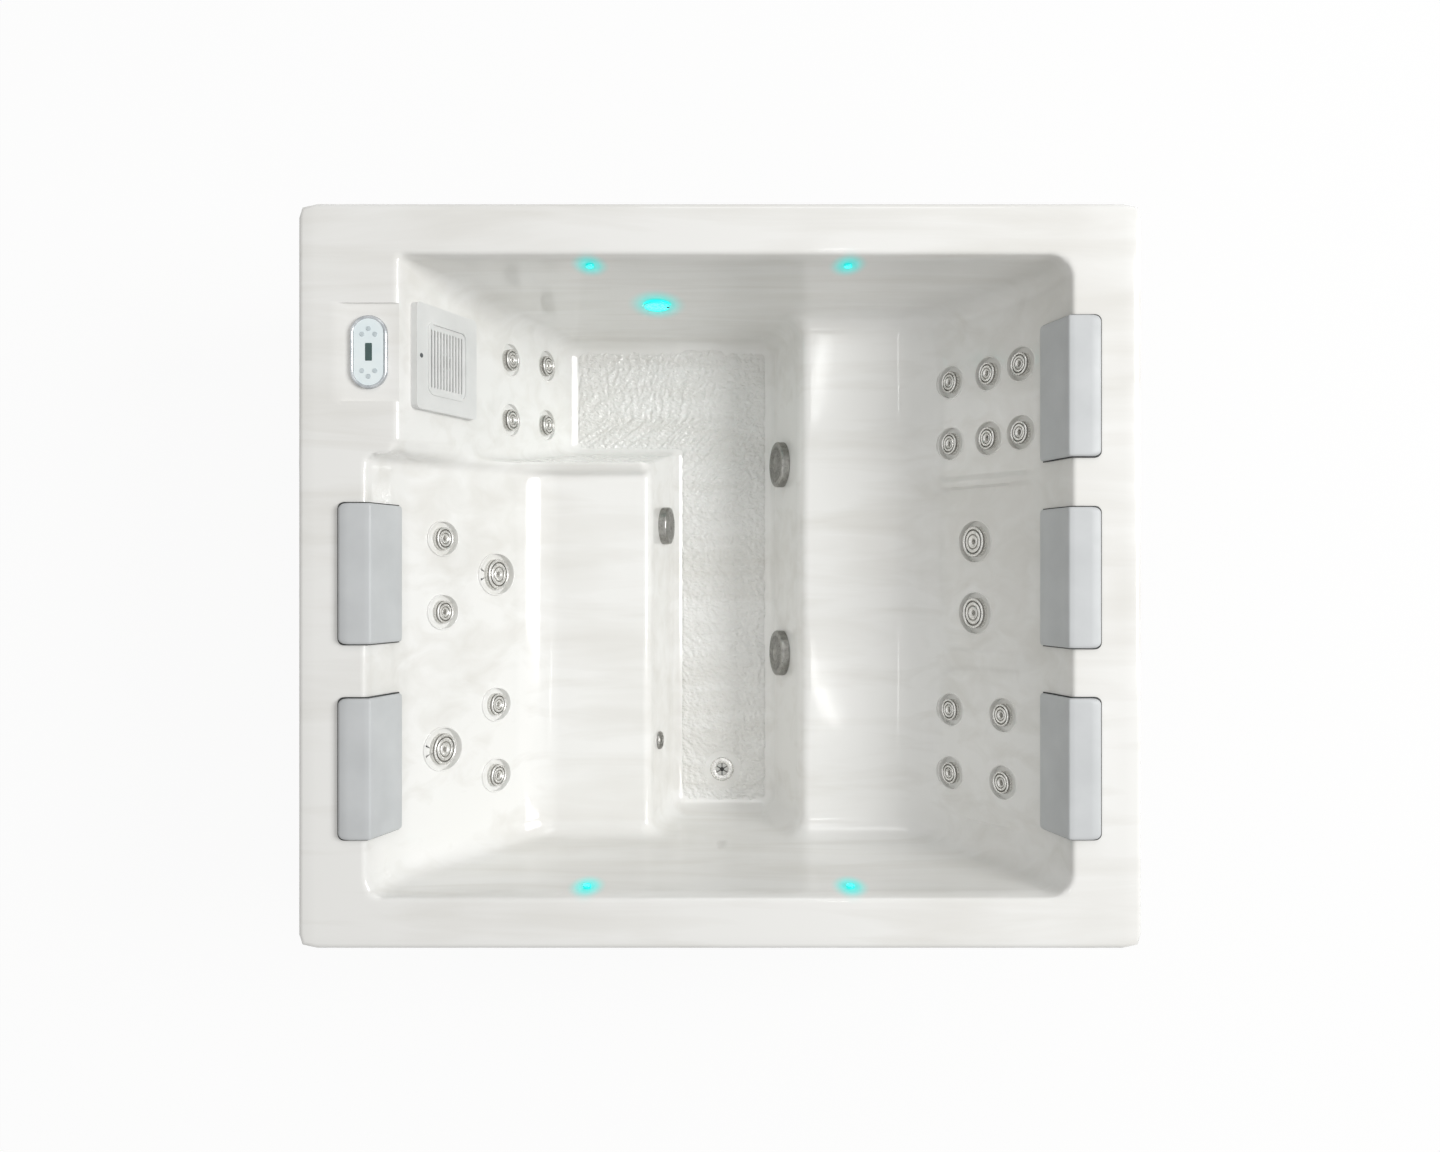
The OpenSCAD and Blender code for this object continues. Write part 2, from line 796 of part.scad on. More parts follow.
module lights() {
  color("cyan")
    for (p = lamps) on_end(p)
      difference() {
        union() {
          translate([0, 0, gap]) cylinder(r1 = p[3], r2 = p[3] - 2.5, h = lamp_rise);
          translate([0, 0, -30]) cylinder(r = lamp_hole * p[3] - gap, h = 31);
          translate([0, 0, -shell_t - 8]) cylinder(r = p[3] - 0.5, h = 8 - gap);
        }
        translate([0, 0, -31]) cylinder(r = lamp_hole * p[3] - gap - 2, h = 26);
      }
}

// Filter housing: a can behind the slope, with a flange and an outlet at its closed end
module skimmer_housing() {
  color("white")
    on_wall(skimmer_axis)
      difference() {
        union() {
          translate([0, 0, -housing_l]) cylinder(r = housing_r, h = housing_l + 2);
          translate([0, 0, gap]) cylinder(r = housing_r + 12, h = 3);
          translate([0, 0, -housing_l - outlet_l]) cylinder(r = 22, h = outlet_l + 1);
        }
        translate([0, 0, -housing_l + housing_t])
          cylinder(r = housing_r - housing_t, h = housing_l + 10);
        translate([0, 0, -housing_l - 26]) cylinder(r = 18, h = 40);
      }
}

// Cover plate in front of the skimmer: slots inside a raised ring, and a skirt to the shell
module skimmer_cover() {
  ring_w = 0.62 * cover_w;
  color("lightgray")
    on_wall(skimmer_axis)
      difference() {
        union() {
          translate([0, 0, gap])
            linear_extrude(cover_t) polygon(round_box(cover_h, cover_w, 14));
          translate([0, 0, gap]) linear_extrude(cover_t + 3) polygon(round_box(ring_w, ring_w, 24));
        }
        translate([0, 0, 0]) cylinder(r = housing_r + 14, h = cover_t - 6);
        translate([0, 0, cover_t]) linear_extrude(10)
          polygon(round_box(ring_w - 14, ring_w - 14, 18));
        for (i = [0:louvres - 1])
          translate([(i - (louvres - 1) / 2) * (ring_w - 40) / (louvres - 1), 0, 0])
            linear_extrude(cover_t + 5) square([5, ring_w - 40], center = true);
      }
}

// Pleated filter cartridge, drawn as its end caps, core and pleat drum
module filter_cartridge() {
  front = -12;
  back = -housing_l + housing_t + 6;
  color("white")
    on_wall(skimmer_axis)
      difference() {
        union() {
          translate([0, 0, back]) cylinder(r = filter_r, h = 12);
          translate([0, 0, front - 12]) cylinder(r = filter_r, h = 12);
          translate([0, 0, back]) cylinder(r = filter_r - 5, h = front - back);
          translate([0, 0, front - 1])
            tube(24, 20, cover_t - 6 - front + 1);
        }
        translate([0, 0, back - 1]) cylinder(r = 20, h = front - back + 2);
      }
}

// Points of an outline with straight sides and round ends, along Y
function stadium(w, l, n = 14) = [
  for (k = [0:1], i = [0:n])
    let (a = 180 * i / n + 180 * k, s = k == 0 ? 1 : -1)
      [w / 2 * cos(a), s * (l - w) / 2 + w / 2 * sin(a)]
];

module control_bezel() {
  color("silver")
    translate([-panel_x, panel_y, pocket_z])
      difference() {
        linear_extrude(bezel_h) polygon(stadium(bezel_w, bezel_l));
        translate([0, 0, -1]) linear_extrude(bezel_h + 2)
          polygon(stadium(display_w + 2 * gap, display_l + 2 * gap));
      }
}

// Face of the control panel, with a blind hole for each button and its electronics box below
module display_panel() {
  color("aliceblue")
    translate([-panel_x, panel_y, pocket_z])
      difference() {
        union() {
          linear_extrude(display_h) polygon(stadium(display_w, display_l));
          translate([0, 0, -controls_d])
            linear_extrude(controls_d + 1) square([controls_w, controls_l], center = true);
        }
        for (b = button_spots)
          translate([b[0], b[1], display_h - button_depth])
            cylinder(r = button_r + fit, h = button_depth + 1);
        translate([0, 0, display_h - 0.6])
          linear_extrude(2) square([18, 45.5], center = true);
      }
}

module button(i) {
  b = button_spots[i];
  bottom = display_h - button_depth + button_travel + gap;
  color("lightsteelblue")
    translate([-panel_x + b[0], panel_y + b[1], pocket_z + bottom])
      cylinder(r = button_r, h = display_h + button_rise - bottom);
}

// Place of the headrest pins, over the flat rim
function pin_x(side) = side * ((side > 0 ? right_rim : left_rim) + pad_reach / 2 + 4);

// Cross-section of a headrest in X and Z, drawn for the +X side, drawn in by s
module pad_outline(rim, neck, s, pull) {
  lean = (rim - neck) / neck_d;
  polygon([
    [rim + pad_reach - s - pull, rim_z - 2],
    [rim + pad_reach - s - pull, rim_z + pad_rise - 7],
    [rim + pad_reach - s - pull - 7, rim_z + pad_rise - s],
    [rim - 3, rim_z + pad_rise - s],
    [rim - pad_t + s, rim_z + pad_rise - 10 - s],
    [rim - lean * pad_drop - pad_t + s, rim_z - pad_drop + 8 + s],
    [rim - lean * pad_drop - pad_t + 6 + s, rim_z - pad_drop + s],
    [rim - lean * pad_drop + 10, rim_z - pad_drop + s]
  ]);
}

// Headrest: a moulded pad over the rim and the top of the back, with crowned faces and two pins
module headrest(p) {
  rim = p[0] > 0 ? right_rim : left_rim;
  neck = p[0] > 0 ? right_neck : left_neck;
  // distance in from the end, draw-in of the faces, pull of the outer corner
  slices = [[0, 5, 20], [4, 2.5, 8], [12, 1.5, 2], [22, 1, 0], [pad_l / 2, 0, 0]];
  color("silver")
    translate([0, p[1], 0]) mirror([p[0] > 0 ? 0 : 1, 0, 0]) {
      difference() {
        hull()
          for (s = slices, e = [-1, 1])
            translate([0, e * (pad_l / 2 - s[0]), 0])
              along_y(-0.5, 0.5) pad_outline(rim, neck, s[1], s[2]);
        along_y(-far, far)
          polygon([
            [far, rim_z + gap],
            [rim - gap, rim_z + gap],
            [neck - gap, neck_z],
            [neck - gap - (rim - neck), neck_z - neck_d],
            [far, neck_z - neck_d]
          ]);
      }
      for (s = [-1, 1])
        translate([abs(pin_x(p[0])), s * pin_y, rim_z - pin_l])
          cylinder(r = pin_r, h = pin_l + 6);
    }
}

// Pump: everything stands on an axis along Y
module on_pump(y) {
  translate([pump_x, y, pump_z]) rotate([90, 0, 0]) children();
}

module pump_motor() {
  color("dimgray")
    difference() {
      union() {
        on_pump(motor_y) cylinder(r = motor_r, h = motor_l);
        box(pump_x - 55, pump_x + 55, wet_y + 40, motor_y - 40, pan_floor, pump_z);
        box(pump_x - 30, pump_x + 30, wet_y + 60, motor_y - 60, pump_z, pump_z + motor_r + 12);
      }
      on_pump(motor_y - 15) cylinder(r = motor_r - 30, h = motor_l - 30);
      on_pump(motor_y + 1) cylinder(r = shaft_r + fit, h = motor_l + 2);
    }
}

module pump_wet_end() {
  color("black")
    difference() {
      union() {
        on_pump(wet_y) cylinder(r = wet_r, h = wet_l * 0.6);
        on_pump(wet_y) cylinder(r = 45, h = wet_l);
        translate([pump_x, wet_y - wet_l * 0.3, pump_z]) cylinder(r = 32, h = wet_r + 27);
        box(pump_x - 50, pump_x + 50, wet_y - wet_l * 0.6, wet_y, pan_floor, pump_z - 60);
      }
      on_pump(wet_y - 15) cylinder(r = wet_r - 18, h = wet_l * 0.6 - 25);
      on_pump(wet_y + 1) cylinder(r = shaft_r + fit, h = 20);
      on_pump(wet_y - wet_l * 0.5) cylinder(r = 26, h = wet_l);
      translate([pump_x, wet_y - wet_l * 0.3, pump_z]) cylinder(r = 26, h = wet_r + 30);
    }
}

// Shaft with its rotor core and impeller
module pump_rotor() {
  color("silver") {
    on_pump(motor_y - 2) cylinder(r = shaft_r, h = motor_l + 30);
    on_pump(motor_y - 45) cylinder(r = motor_r - 38, h = motor_l - 90);
    on_pump(wet_y - 22) cylinder(r = wet_r - 26, h = 8);
    on_pump(wet_y - 22)
      for (a = [0:60:300])
        rotate(a) translate([14, -2, 0]) cube([wet_r - 42, 4, 18]);
  }
}

module heater_tube() {
  color("silver")
    translate([pump_x, heater_y + heater_l, heater_z]) rotate([90, 0, 0]) {
      difference() {
        union() {
          cylinder(r = heater_r, h = heater_l);
          cylinder(r = heater_r + 8, h = 22);
          translate([0, 0, heater_l - 22]) cylinder(r = heater_r + 8, h = 22);
        }
        translate([0, 0, -1]) cylinder(r = heater_r - 3, h = heater_l + 2);
      }
    }
}

// Control box on the middle rail, behind the service panel
module control_box() {
  x0 = -frame_x + 40;
  color("dimgray") {
    difference() {
      box(x0, x0 + 72, -450, -150, 330, 560);
      box(x0 + 4, x0 + 68, -446, -154, 334, 556);
    }
  }
}

// A run of pipe from a to b
module pipe(a, b, r) {
  v = b - a;
  translate(a) rotate([0, atan2(norm([v[0], v[1]]), v[2]), atan2(v[1], v[0])]) cylinder(r = r, h = norm(v));
}

// Elbow or tee block at a point of a pipe
module elbow(p, r) {
  translate(p) sphere(r = r + 5);
}

// Supply side: headers, risers with a stub for each jet, cross pipe, and the run from the heater
module supply_pipes() {
  heater_end = heater_y + heater_l;
  cross_y = 300;
  for (side = [-1, 1]) {
    x = side < 0 ? -left_header : right_header;
    pipe([x, -605, header_z], [x, 680, header_z], header_r);
    pipe([x, cross_y, header_z], [x, cross_y, 75], riser_r);
    elbow([x, cross_y, 75], 17);
  }
  pipe([-left_header, cross_y, 75], [right_header, cross_y, 75], 17);
  for (t = risers) {
    top = max([for (j = t[2]) meet(j)]) + hose_r + 12;
    pipe([t[0], t[1], header_z], [t[0], t[1], max(top, header_z + header_r + 10)], riser_r);
    for (j = t[2])
      on_wall(j) translate([0, 0, -reach(j)]) cylinder(r = barb_r, h = header_r + barb_l);
  }
  out = [pump_x, heater_end + 39, heater_z];
  corner = [-left_header, out[1], heater_z];
  pipe([pump_x, heater_end, heater_z], out, 28);
  elbow(out, 28);
  pipe(out, corner, heater_run_r);
  elbow(corner, heater_run_r);
  pipe(corner, [-left_header, out[1], header_z], heater_run_r);
  lift = [pump_x, wet_y - wet_l * 0.3, pump_z + wet_r + 27];
  turn = [lift[0], lift[1], heater_z];
  pipe(lift, turn, 28);
  elbow(turn, 28);
  pipe(turn, [pump_x, heater_y, heater_z], 28);
}

// End of a straight tail of length l behind a fitting that reaches back from its wall
function tail_end(p, back, l) =
  [p[0] - p[4] * cos(p[3]) * (back + l), p[1], p[2] - sin(p[3]) * (back + l)];

// Straight tail of pipe behind a fitting, with an elbow at its end
module tail(p, back, l, r) {
  on_wall(p) translate([0, 0, -back - l]) cylinder(r = r, h = l);
  elbow(tail_end(p, back, l), r);
}

// A run of pipe through a list of points, with an elbow at each bend
module run(points, r) {
  for (i = [1:len(points) - 1]) pipe(points[i - 1], points[i], r);
  for (i = [1:1:len(points) - 2]) elbow(points[i], r);
}

// Suction side: pipes from the covers and the skimmer to the inlet of the pump, and the return line
module suction_pipes() {
  low = 75;
  main_x = -285;
  side_x = 305;
  main_z = 200;
  cross_y = -300;
  join_y = -500;
  tail_l = 35;
  skimmer_line = 18;
  for (s = suctions) {
    x = s[4] > 0 ? main_x : side_x;
    p = tail_end(s, fitting_back, tail_l);
    tail(s, fitting_back, tail_l, 24);
    run([p, [x, s[1], p[2]], [x, s[1], main_z]], 24);
  }
  run([[side_x, suctions[0][1], main_z], [side_x, cross_y, main_z]], 24);
  run([[side_x, cross_y, main_z], [side_x, cross_y, low], [main_x, cross_y, low],
    [main_x, cross_y, main_z]], 17);
  run([[main_x, suctions[2][1], main_z], [main_x, join_y, main_z], [main_x, join_y, pump_z],
    [pump_x, join_y, pump_z], [pump_x, wet_y - wet_l, pump_z]], 24);
  for (p = [[side_x, suctions[0][1], main_z], [side_x, cross_y, main_z],
      [main_x, suctions[2][1], main_z]])
    elbow(p, 24);
  back_end = tail_end(return_at, fitting_back, tail_l);
  tail(return_at, fitting_back, tail_l, 14);
  run([back_end, [-left_header, back_end[1], back_end[2]]], 14);
  q = tail_end(skimmer_axis, housing_l + outlet_l, 20);
  tail(skimmer_axis, housing_l + outlet_l, 20, skimmer_line);
  run([q, [q[0], q[1], pump_z], [q[0], join_y - 20, pump_z], [pump_x, join_y - 20, pump_z]],
    skimmer_line);
}

module pipework() {
  color("white") {
    supply_pipes();
    suction_pipes();
  }
}

// Drain line under the shell, with a ball valve on the bottom rail and a hose spout
module drain_valve() {
  start = [drain_at[0], drain_at[1], drain_line_z];
  bend = [drain_at[0], drain_line_y, drain_line_z];
  spout = [-cab_x - 10, drain_line_y, drain_line_z];
  color("white")
    difference() {
      union() {
        pipe(start, bend, drain_line_r);
        pipe(bend, spout, drain_line_r);
        translate(bend) sphere(r = drain_line_r + 1);
        translate([valve_x - 25, drain_line_y - 22, drain_line_z - 20]) cube([50, 44, 44]);
        translate(start) cylinder(r = 18, h = drain_line_r + 2);
      }
      pipe(spout - [1, 0, 0], [valve_x + 40, drain_line_y, drain_line_z], 10);
      translate([valve_x, drain_line_y, drain_line_z + 8]) cylinder(r = 6 + fit, h = 30);
    }
}

// Handle of the drain valve, turned about an upright stem
module drain_knob() {
  top = drain_line_z + 24;
  color("red")
    translate([valve_x, drain_line_y, 0]) {
      translate([0, 0, drain_line_z + 11]) cylinder(r = 6, h = 15);
      translate([0, 0, top + gap]) cylinder(r = 14, h = 10);
      translate([-6, -12, top + gap]) cube([60, 24, 8]);
    }
}

tub_shell();
base_pan();
support_frame();
service_panel();
panel_right();
panel_front();
panel_rear();
corner_covers();
jet_bodies();
jet_hoses();
suction_covers();
return_fitting();
floor_drain();
lights();
skimmer_housing();
skimmer_cover();
filter_cartridge();
control_bezel();
display_panel();
pump_wet_end();
pump_motor();
pump_rotor();
heater_tube();
control_box();
pipework();
drain_valve();
drain_knob();
for (i = [0:len(pads) - 1])
  headrest(pads[i]);
for (i = [0:len(button_spots) - 1])
  button(i);
for (i = [0:len(left_jets) - 1])
  jet(left_jets[i]);
for (i = [0:len(entry_jets) - 1])
  jet(entry_jets[i]);
for (i = [0:len(right_jets) - 1])
  jet(right_jets[i]);
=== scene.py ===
import bpy
import bmesh
import math
import numpy as np
from bmesh import ops
from mathutils import Matrix, Vector, noise


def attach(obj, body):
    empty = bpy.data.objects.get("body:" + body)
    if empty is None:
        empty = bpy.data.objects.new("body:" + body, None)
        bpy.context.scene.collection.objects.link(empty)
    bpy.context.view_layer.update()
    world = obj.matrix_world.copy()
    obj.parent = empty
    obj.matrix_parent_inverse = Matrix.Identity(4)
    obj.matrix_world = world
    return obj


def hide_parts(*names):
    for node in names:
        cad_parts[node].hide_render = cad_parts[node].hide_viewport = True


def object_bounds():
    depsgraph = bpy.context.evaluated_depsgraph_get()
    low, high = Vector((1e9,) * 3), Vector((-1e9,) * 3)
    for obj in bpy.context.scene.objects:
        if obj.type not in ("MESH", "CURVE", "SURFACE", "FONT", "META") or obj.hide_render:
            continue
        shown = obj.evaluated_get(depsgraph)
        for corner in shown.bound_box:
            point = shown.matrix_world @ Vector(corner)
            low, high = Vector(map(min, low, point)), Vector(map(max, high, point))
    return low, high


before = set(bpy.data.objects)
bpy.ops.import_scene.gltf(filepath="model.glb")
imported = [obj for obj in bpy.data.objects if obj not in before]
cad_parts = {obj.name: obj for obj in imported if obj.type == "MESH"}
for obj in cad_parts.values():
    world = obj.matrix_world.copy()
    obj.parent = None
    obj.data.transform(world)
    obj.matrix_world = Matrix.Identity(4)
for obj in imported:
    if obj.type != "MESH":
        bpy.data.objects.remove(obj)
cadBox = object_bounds()

# camera: straight above the middle of the rim
cameraSetup = dict(height=3.8, lens=28.5, sensor=36)
cameraData = bpy.data.cameras.new("camera")
cameraData.lens = cameraSetup["lens"]
cameraData.sensor_width = cameraSetup["sensor"]
camera = bpy.data.objects.new("camera", cameraData)
camera.location = (0, 0, cameraSetup["height"])
bpy.context.scene.collection.objects.link(camera)
bpy.context.scene.camera = camera
bpy.context.scene.view_settings.view_transform = "Standard"
print("camera ready")

# heights shared by the fittings and the thickness of the shell, in metres
tub = dict(rim=0.9, neck=0.77, seat=0.42, floor=0.12, thickness=0.01)
rimZ, neckZ, seatZ, floorZ = (tub[key] for key in ("rim", "neck", "seat", "floor"))
# a wall's section: distance from the middle and height, from its foot up
leftBack = [(0.540, seatZ), (0.856, neckZ), (0.898, rimZ)]
rightBack = [(0.613, seatZ), (0.862, neckZ), (0.896, rimZ)]
leftFront = [(0.145, floorZ), (0.207, seatZ)]
rightFront = [(0.166, floorZ), (0.243, seatZ)]
entrySlope = [(0.484, floorZ), (0.819, rimZ)]
endWall = [(0.752, floorZ), (0.767, seatZ), (0.818, rimZ)]
# points closer than this are one
weld = 1e-6


def wallAt(line, z):
    # distance of a wall from the middle at height z
    for (a0, z0), (a1, z1) in zip(line, line[1:]):
        if z <= z1 or (a1, z1) == line[-1]:
            return a0 + (a1 - a0) * (z - z0) / (z1 - z0)


def leanOf(low, high):
    # how far a wall leans back from upright, in degrees
    return math.degrees(math.atan2(high[0] - low[0], high[1] - low[1]))


def at(x, y, z):
    return Matrix.Translation((x, y, z))


def turned(degrees, axis):
    return Matrix.Rotation(math.radians(degrees), 4, axis)


def onWall(x, y, z, elevation, side):
    # +Z along the axis of a fitting in a side wall
    return at(x, y, z) @ turned(side * (90 - elevation), "Y")


def onEnd(x, y, z, side):
    return at(x, y, z) @ turned(side * (90 - leanOf(*endWall[1:])), "X")


def faceOut(bm):
    ops.recalc_face_normals(bm, faces=bm.faces)


def pick(geom, kind):
    return [g for g in geom if isinstance(g, kind)]


def rounded(bm, edges, width, segments=2):
    ops.bevel(bm, geom=edges, offset=width, segments=segments, affect="EDGES", profile=0.5, material=-1)


def merge(bm, part, matrix=Matrix()):
    # add one bmesh to another
    part.transform(matrix)
    mesh = bpy.data.meshes.new("part")
    part.to_mesh(mesh)
    part.free()
    bm.from_mesh(mesh)
    bpy.data.meshes.remove(mesh)


def spun(profile, segments):
    # a turned shape about Z from (radius, height) points; where they keep off the axis they close to a ring
    bm = bmesh.new()
    verts = [bm.verts.new((r, 0, z)) for r, z in profile]
    pairs = list(zip(verts, verts[1:]))
    if profile[0][0] > 0:
        pairs.append((verts[-1], verts[0]))
    edges = [bm.edges.new(pair) for pair in pairs]
    ops.spin(bm, geom=verts + edges, cent=(0, 0, 0), axis=(0, 0, 1), angle=2 * math.pi, steps=segments,
             use_merge=True)
    ops.remove_doubles(bm, verts=bm.verts, dist=weld)
    faceOut(bm)
    return bm


def drum(radius, low, high, segments):
    return spun([(0, low), (radius, low), (radius, high), (0, high)], segments)


def prism(points, depth):
    # an outline in X and Y raised along Z
    bm = bmesh.new()
    face = bm.faces.new([bm.verts.new((x, y, 0)) for x, y in points])
    made = ops.extrude_face_region(bm, geom=[face])["geom"]
    ops.translate(bm, verts=pick(made, bmesh.types.BMVert), vec=(0, 0, depth))
    faceOut(bm)
    return bm


def flatPoints(bm):
    # X and Y of every point
    return np.array([v.co.xy for v in bm.verts]).T


def block(low, high, bevel=0, segments=2):
    # a box between two corners
    bm = bmesh.new()
    ops.create_cube(bm, size=1)
    ops.scale(bm, verts=bm.verts, vec=[b - a for a, b in zip(low, high)])
    ops.translate(bm, verts=bm.verts, vec=[(a + b) / 2 for a, b in zip(low, high)])
    if bevel:
        rounded(bm, bm.edges[:], bevel, segments)
    return bm


def lofted(sections, ring=False):
    # closed outlines, each a list of points, joined in turn, and then capped or joined to a ring
    bm = bmesh.new()
    loops = []
    for points in sections:
        verts = [bm.verts.new(p) for p in points]
        loops.append([bm.edges.new(pair) for pair in zip(verts, verts[1:] + verts[:1])])
    for one, two in zip(loops, loops[1:] + (loops[:1] if ring else [])):
        ops.bridge_loops(bm, edges=one + two)
    if not ring:
        for loop in (loops[0], loops[-1]):
            bm.faces.new([edge.verts[0] for edge in loop])
    faceOut(bm)
    return bm


def roundBox(length, width, radius, steps=6):
    # corner points of a rectangle with round corners
    points = []
    for k in range(4):
        sx, sy = (1, -1, -1, 1)[k], (1, 1, -1, -1)[k]
        for i in range(steps + 1):
            a = math.radians(90 * k + 90 * i / steps)
            points.append((sx * (length / 2 - radius) + radius * math.cos(a),
                           sy * (width / 2 - radius) + radius * math.sin(a)))
    return points


def stadium(width, length, steps=20):
    # corner points of an oval with straight sides along Y
    points = []
    for k in range(2):
        for i in range(steps + 1):
            a = math.pi * (i / steps + k)
            points.append((width / 2 * math.cos(a),
                           (1 - 2 * k) * (length - width) / 2 + width / 2 * math.sin(a)))
    return points


def makePiece(bm, name, material, angle=35):
    # a finished object from a bmesh, smooth but for edges sharper than angle
    mesh = bpy.data.meshes.new(name)
    bm.to_mesh(mesh)
    bm.free()
    piece = bpy.data.objects.new(name, mesh)
    bpy.context.scene.collection.objects.link(piece)
    mesh.materials.append(material)
    smooth(piece, angle)
    return piece


def smooth(piece, angle):
    piece.data.polygons.foreach_set("use_smooth", [True] * len(piece.data.polygons))
    piece.data.set_sharp_from_angle(angle=math.radians(angle))


def applyModifiers(piece):
    bpy.context.view_layer.update()
    graph = bpy.context.evaluated_depsgraph_get()
    mesh = bpy.data.meshes.new_from_object(piece.evaluated_get(graph), depsgraph=graph)
    piece.modifiers.clear()
    piece.data = mesh


def combine(piece, bm, how="DIFFERENCE"):
    # cut a bmesh out of a piece, or join it on
    tool = makePiece(bm, "tool", piece.data.materials[0])
    modifier = piece.modifiers.new("combine", "BOOLEAN")
    modifier.object = tool
    modifier.operation = how
    modifier.solver = "MANIFOLD"
    applyModifiers(piece)
    bpy.data.objects.remove(tool)


def dress(piece, body, slot, *nodes):
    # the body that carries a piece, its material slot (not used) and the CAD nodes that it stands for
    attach(piece, body)
    if nodes:
        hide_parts(*nodes)


def fitPiece(bm, name, material, angle, *role):
    piece = makePiece(bm, name, material, angle)
    dress(piece, *role)
    return piece


def tone(r, g, b):
    # a colour as a screen shows it, 0 to 255, made linear
    return [((c / 255 + 0.055) / 1.055) ** 2.4 if c > 10 else c / 255 / 12.92 for c in (r, g, b)] + [1]


def blank(name):
    material = bpy.data.materials.new(name)
    material.use_nodes = True
    return material, material.node_tree, material.node_tree.nodes["Principled BSDF"]


def wire(tree, node, inputs):
    # set a node's inputs, and link those whose value comes from another node
    for key, value in inputs.items():
        if isinstance(value, bpy.types.NodeSocket):
            tree.links.new(value, node.inputs[key])
        else:
            node.inputs[key].default_value = value


def add(tree, kind, inputs=None, **settings):
    node = tree.nodes.new("ShaderNode" + kind)
    for key, value in settings.items():
        setattr(node, key, value)
    wire(tree, node, inputs or {})
    return node


def maths(tree, operation, a, b):
    return add(tree, "Math", {0: a, 1: b}, operation=operation).outputs[0]


def grainNoise(tree, scale, stretch=(1, 1, 1), detail=3, turn=(0, 0, 0), distortion=0):
    # noise on object coordinates; scale is in cells a metre
    place = add(tree, "TexCoord").outputs["Object"]
    shape = add(tree, "Mapping", {"Vector": place, "Scale": stretch, "Rotation": turn}).outputs[0]
    return add(tree, "TexNoise", {"Vector": shape, "Scale": scale, "Detail": detail,
                                  "Distortion": distortion}).outputs[0]


def spread(tree, factor, low, high, start=0.3, end=0.7, **settings):
    # a value from low to high as factor goes from start to end
    return add(tree, "MapRange", {"Value": factor, "From Min": start, "From Max": end, "To Min": low,
                                  "To Max": high}, **settings).outputs[0]


def blend(tree, factor, low, high):
    return add(tree, "Mix", {"Factor": factor, 6: low, 7: high}, data_type="RGBA").outputs[2]


def between(tree, factor, low, high, start=0.3, end=0.7):
    # the same as spread for two tones, 0 to 255
    return blend(tree, spread(tree, factor, 0, 1, start, end), tone(*low), tone(*high))


def bump(tree, height, distance, strength, **under):
    return add(tree, "Bump", {"Height": height, "Distance": distance, "Strength": strength, **under}).outputs[0]


def finish(name, colours, roughness, scale, stretch=(1, 1, 1), grain=0, depth=0.0003, grainStretch=(1, 1, 1),
           **sockets):
    # a surface with two tones, uneven roughness and a fine grain
    material, tree, shader = blank(name)
    pattern = grainNoise(tree, scale, stretch, 5)
    uneven = grainNoise(tree, scale * 2.7, stretch, 2)
    inputs = {"Base Color": between(tree, pattern, *colours), "Roughness": spread(tree, uneven, *roughness)}
    if grain:
        inputs["Normal"] = bump(tree, grainNoise(tree, grain, grainStretch, 2), depth, 0.6)
    wire(tree, shader, inputs | {key.replace("_", " "): value for key, value in sockets.items()})
    return material


steel = finish("polished_steel", [(216, 215, 211), (238, 237, 234)], (0.2, 0.32), 60, grain=300, depth=0.00001,
               Metallic=0.65)
darkSteel = finish("brushed_steel", [(142, 141, 137), (180, 179, 175)], (0.26, 0.42), 90, grain=700, depth=0.0001,
                   Metallic=1.0)
padVinyl = finish("pad_vinyl", [(198, 201, 203), (207, 210, 212)], (0.42, 0.55), 9, grain=1400, depth=0.00012)
gasketRubber = finish("gasket_rubber", [(42, 44, 44), (60, 62, 62)], (0.5, 0.7), 40, grain=800)
coverPlastic = finish("cover_plastic", [(220, 221, 220), (229, 230, 229)], (0.3, 0.42), 12, grain=1100, depth=0.00006)
louvreShade = finish("louvre_shade", [(84, 88, 90), (104, 108, 110)], (0.5, 0.6), 30)
bezelMetal = finish("bezel_metal", [(168, 172, 176), (205, 208, 210)], (0.18, 0.3), 50, Metallic=0.85)
facePlate = finish("face_plate", [(232, 244, 248), (240, 249, 251)], (0.16, 0.26), 25, Coat_Weight=0.4)
keyCap = finish("key_cap", [(192, 204, 209), (210, 220, 224)], (0.2, 0.32), 80, Coat_Weight=0.3)
screenGlass = finish("screen_glass", [(24, 62, 60), (34, 78, 74)], (0.06, 0.14), 60, Coat_Weight=0.8)
# darker steel for the jets' sides and grooves: painted shade
jetShadeSteel = finish("jet_collar_painted_shade", [(138, 136, 131), (160, 158, 152)], (0.3, 0.42), 60, Metallic=0.5)
# dark plastic for the sensor bead, and painted shade for the drain well
darkPlasticAndDrainShade = finish("dark_plastic_and_drain_shade", [(26, 26, 26), (44, 44, 42)], (0.35, 0.5), 60)
panPlastic = finish("pan_plastic", [(38, 39, 40), (52, 53, 54)], (0.45, 0.65), 14, grain=500)
cornerPlastic = finish("corner_plastic", [(58, 58, 58), (72, 71, 70)], (0.4, 0.55), 18, grain=600)
timberWood = finish("timber_wood", [(176, 132, 84), (211, 170, 118)], (0.6, 0.8), 14, (6, 6, 1), grain=160,
                    grainStretch=(3, 3, 1))
pipePlastic = finish("pipe_plastic", [(216, 216, 210), (232, 232, 228)], (0.28, 0.4), 10, grain=300, depth=0.0001)
hoseVinyl = finish("hose_vinyl", [(190, 194, 190), (214, 216, 210)], (0.25, 0.4), 30, grain=400)
pumpPlastic = finish("pump_plastic", [(30, 31, 32), (46, 47, 48)], (0.35, 0.5), 20, grain=500)
motorPaint = finish("motor_paint", [(78, 84, 90), (96, 102, 108)], (0.35, 0.5), 16, grain=350, Metallic=0.3)
boxPlastic = finish("box_plastic", [(84, 86, 88), (100, 102, 104)], (0.4, 0.55), 14, grain=500)
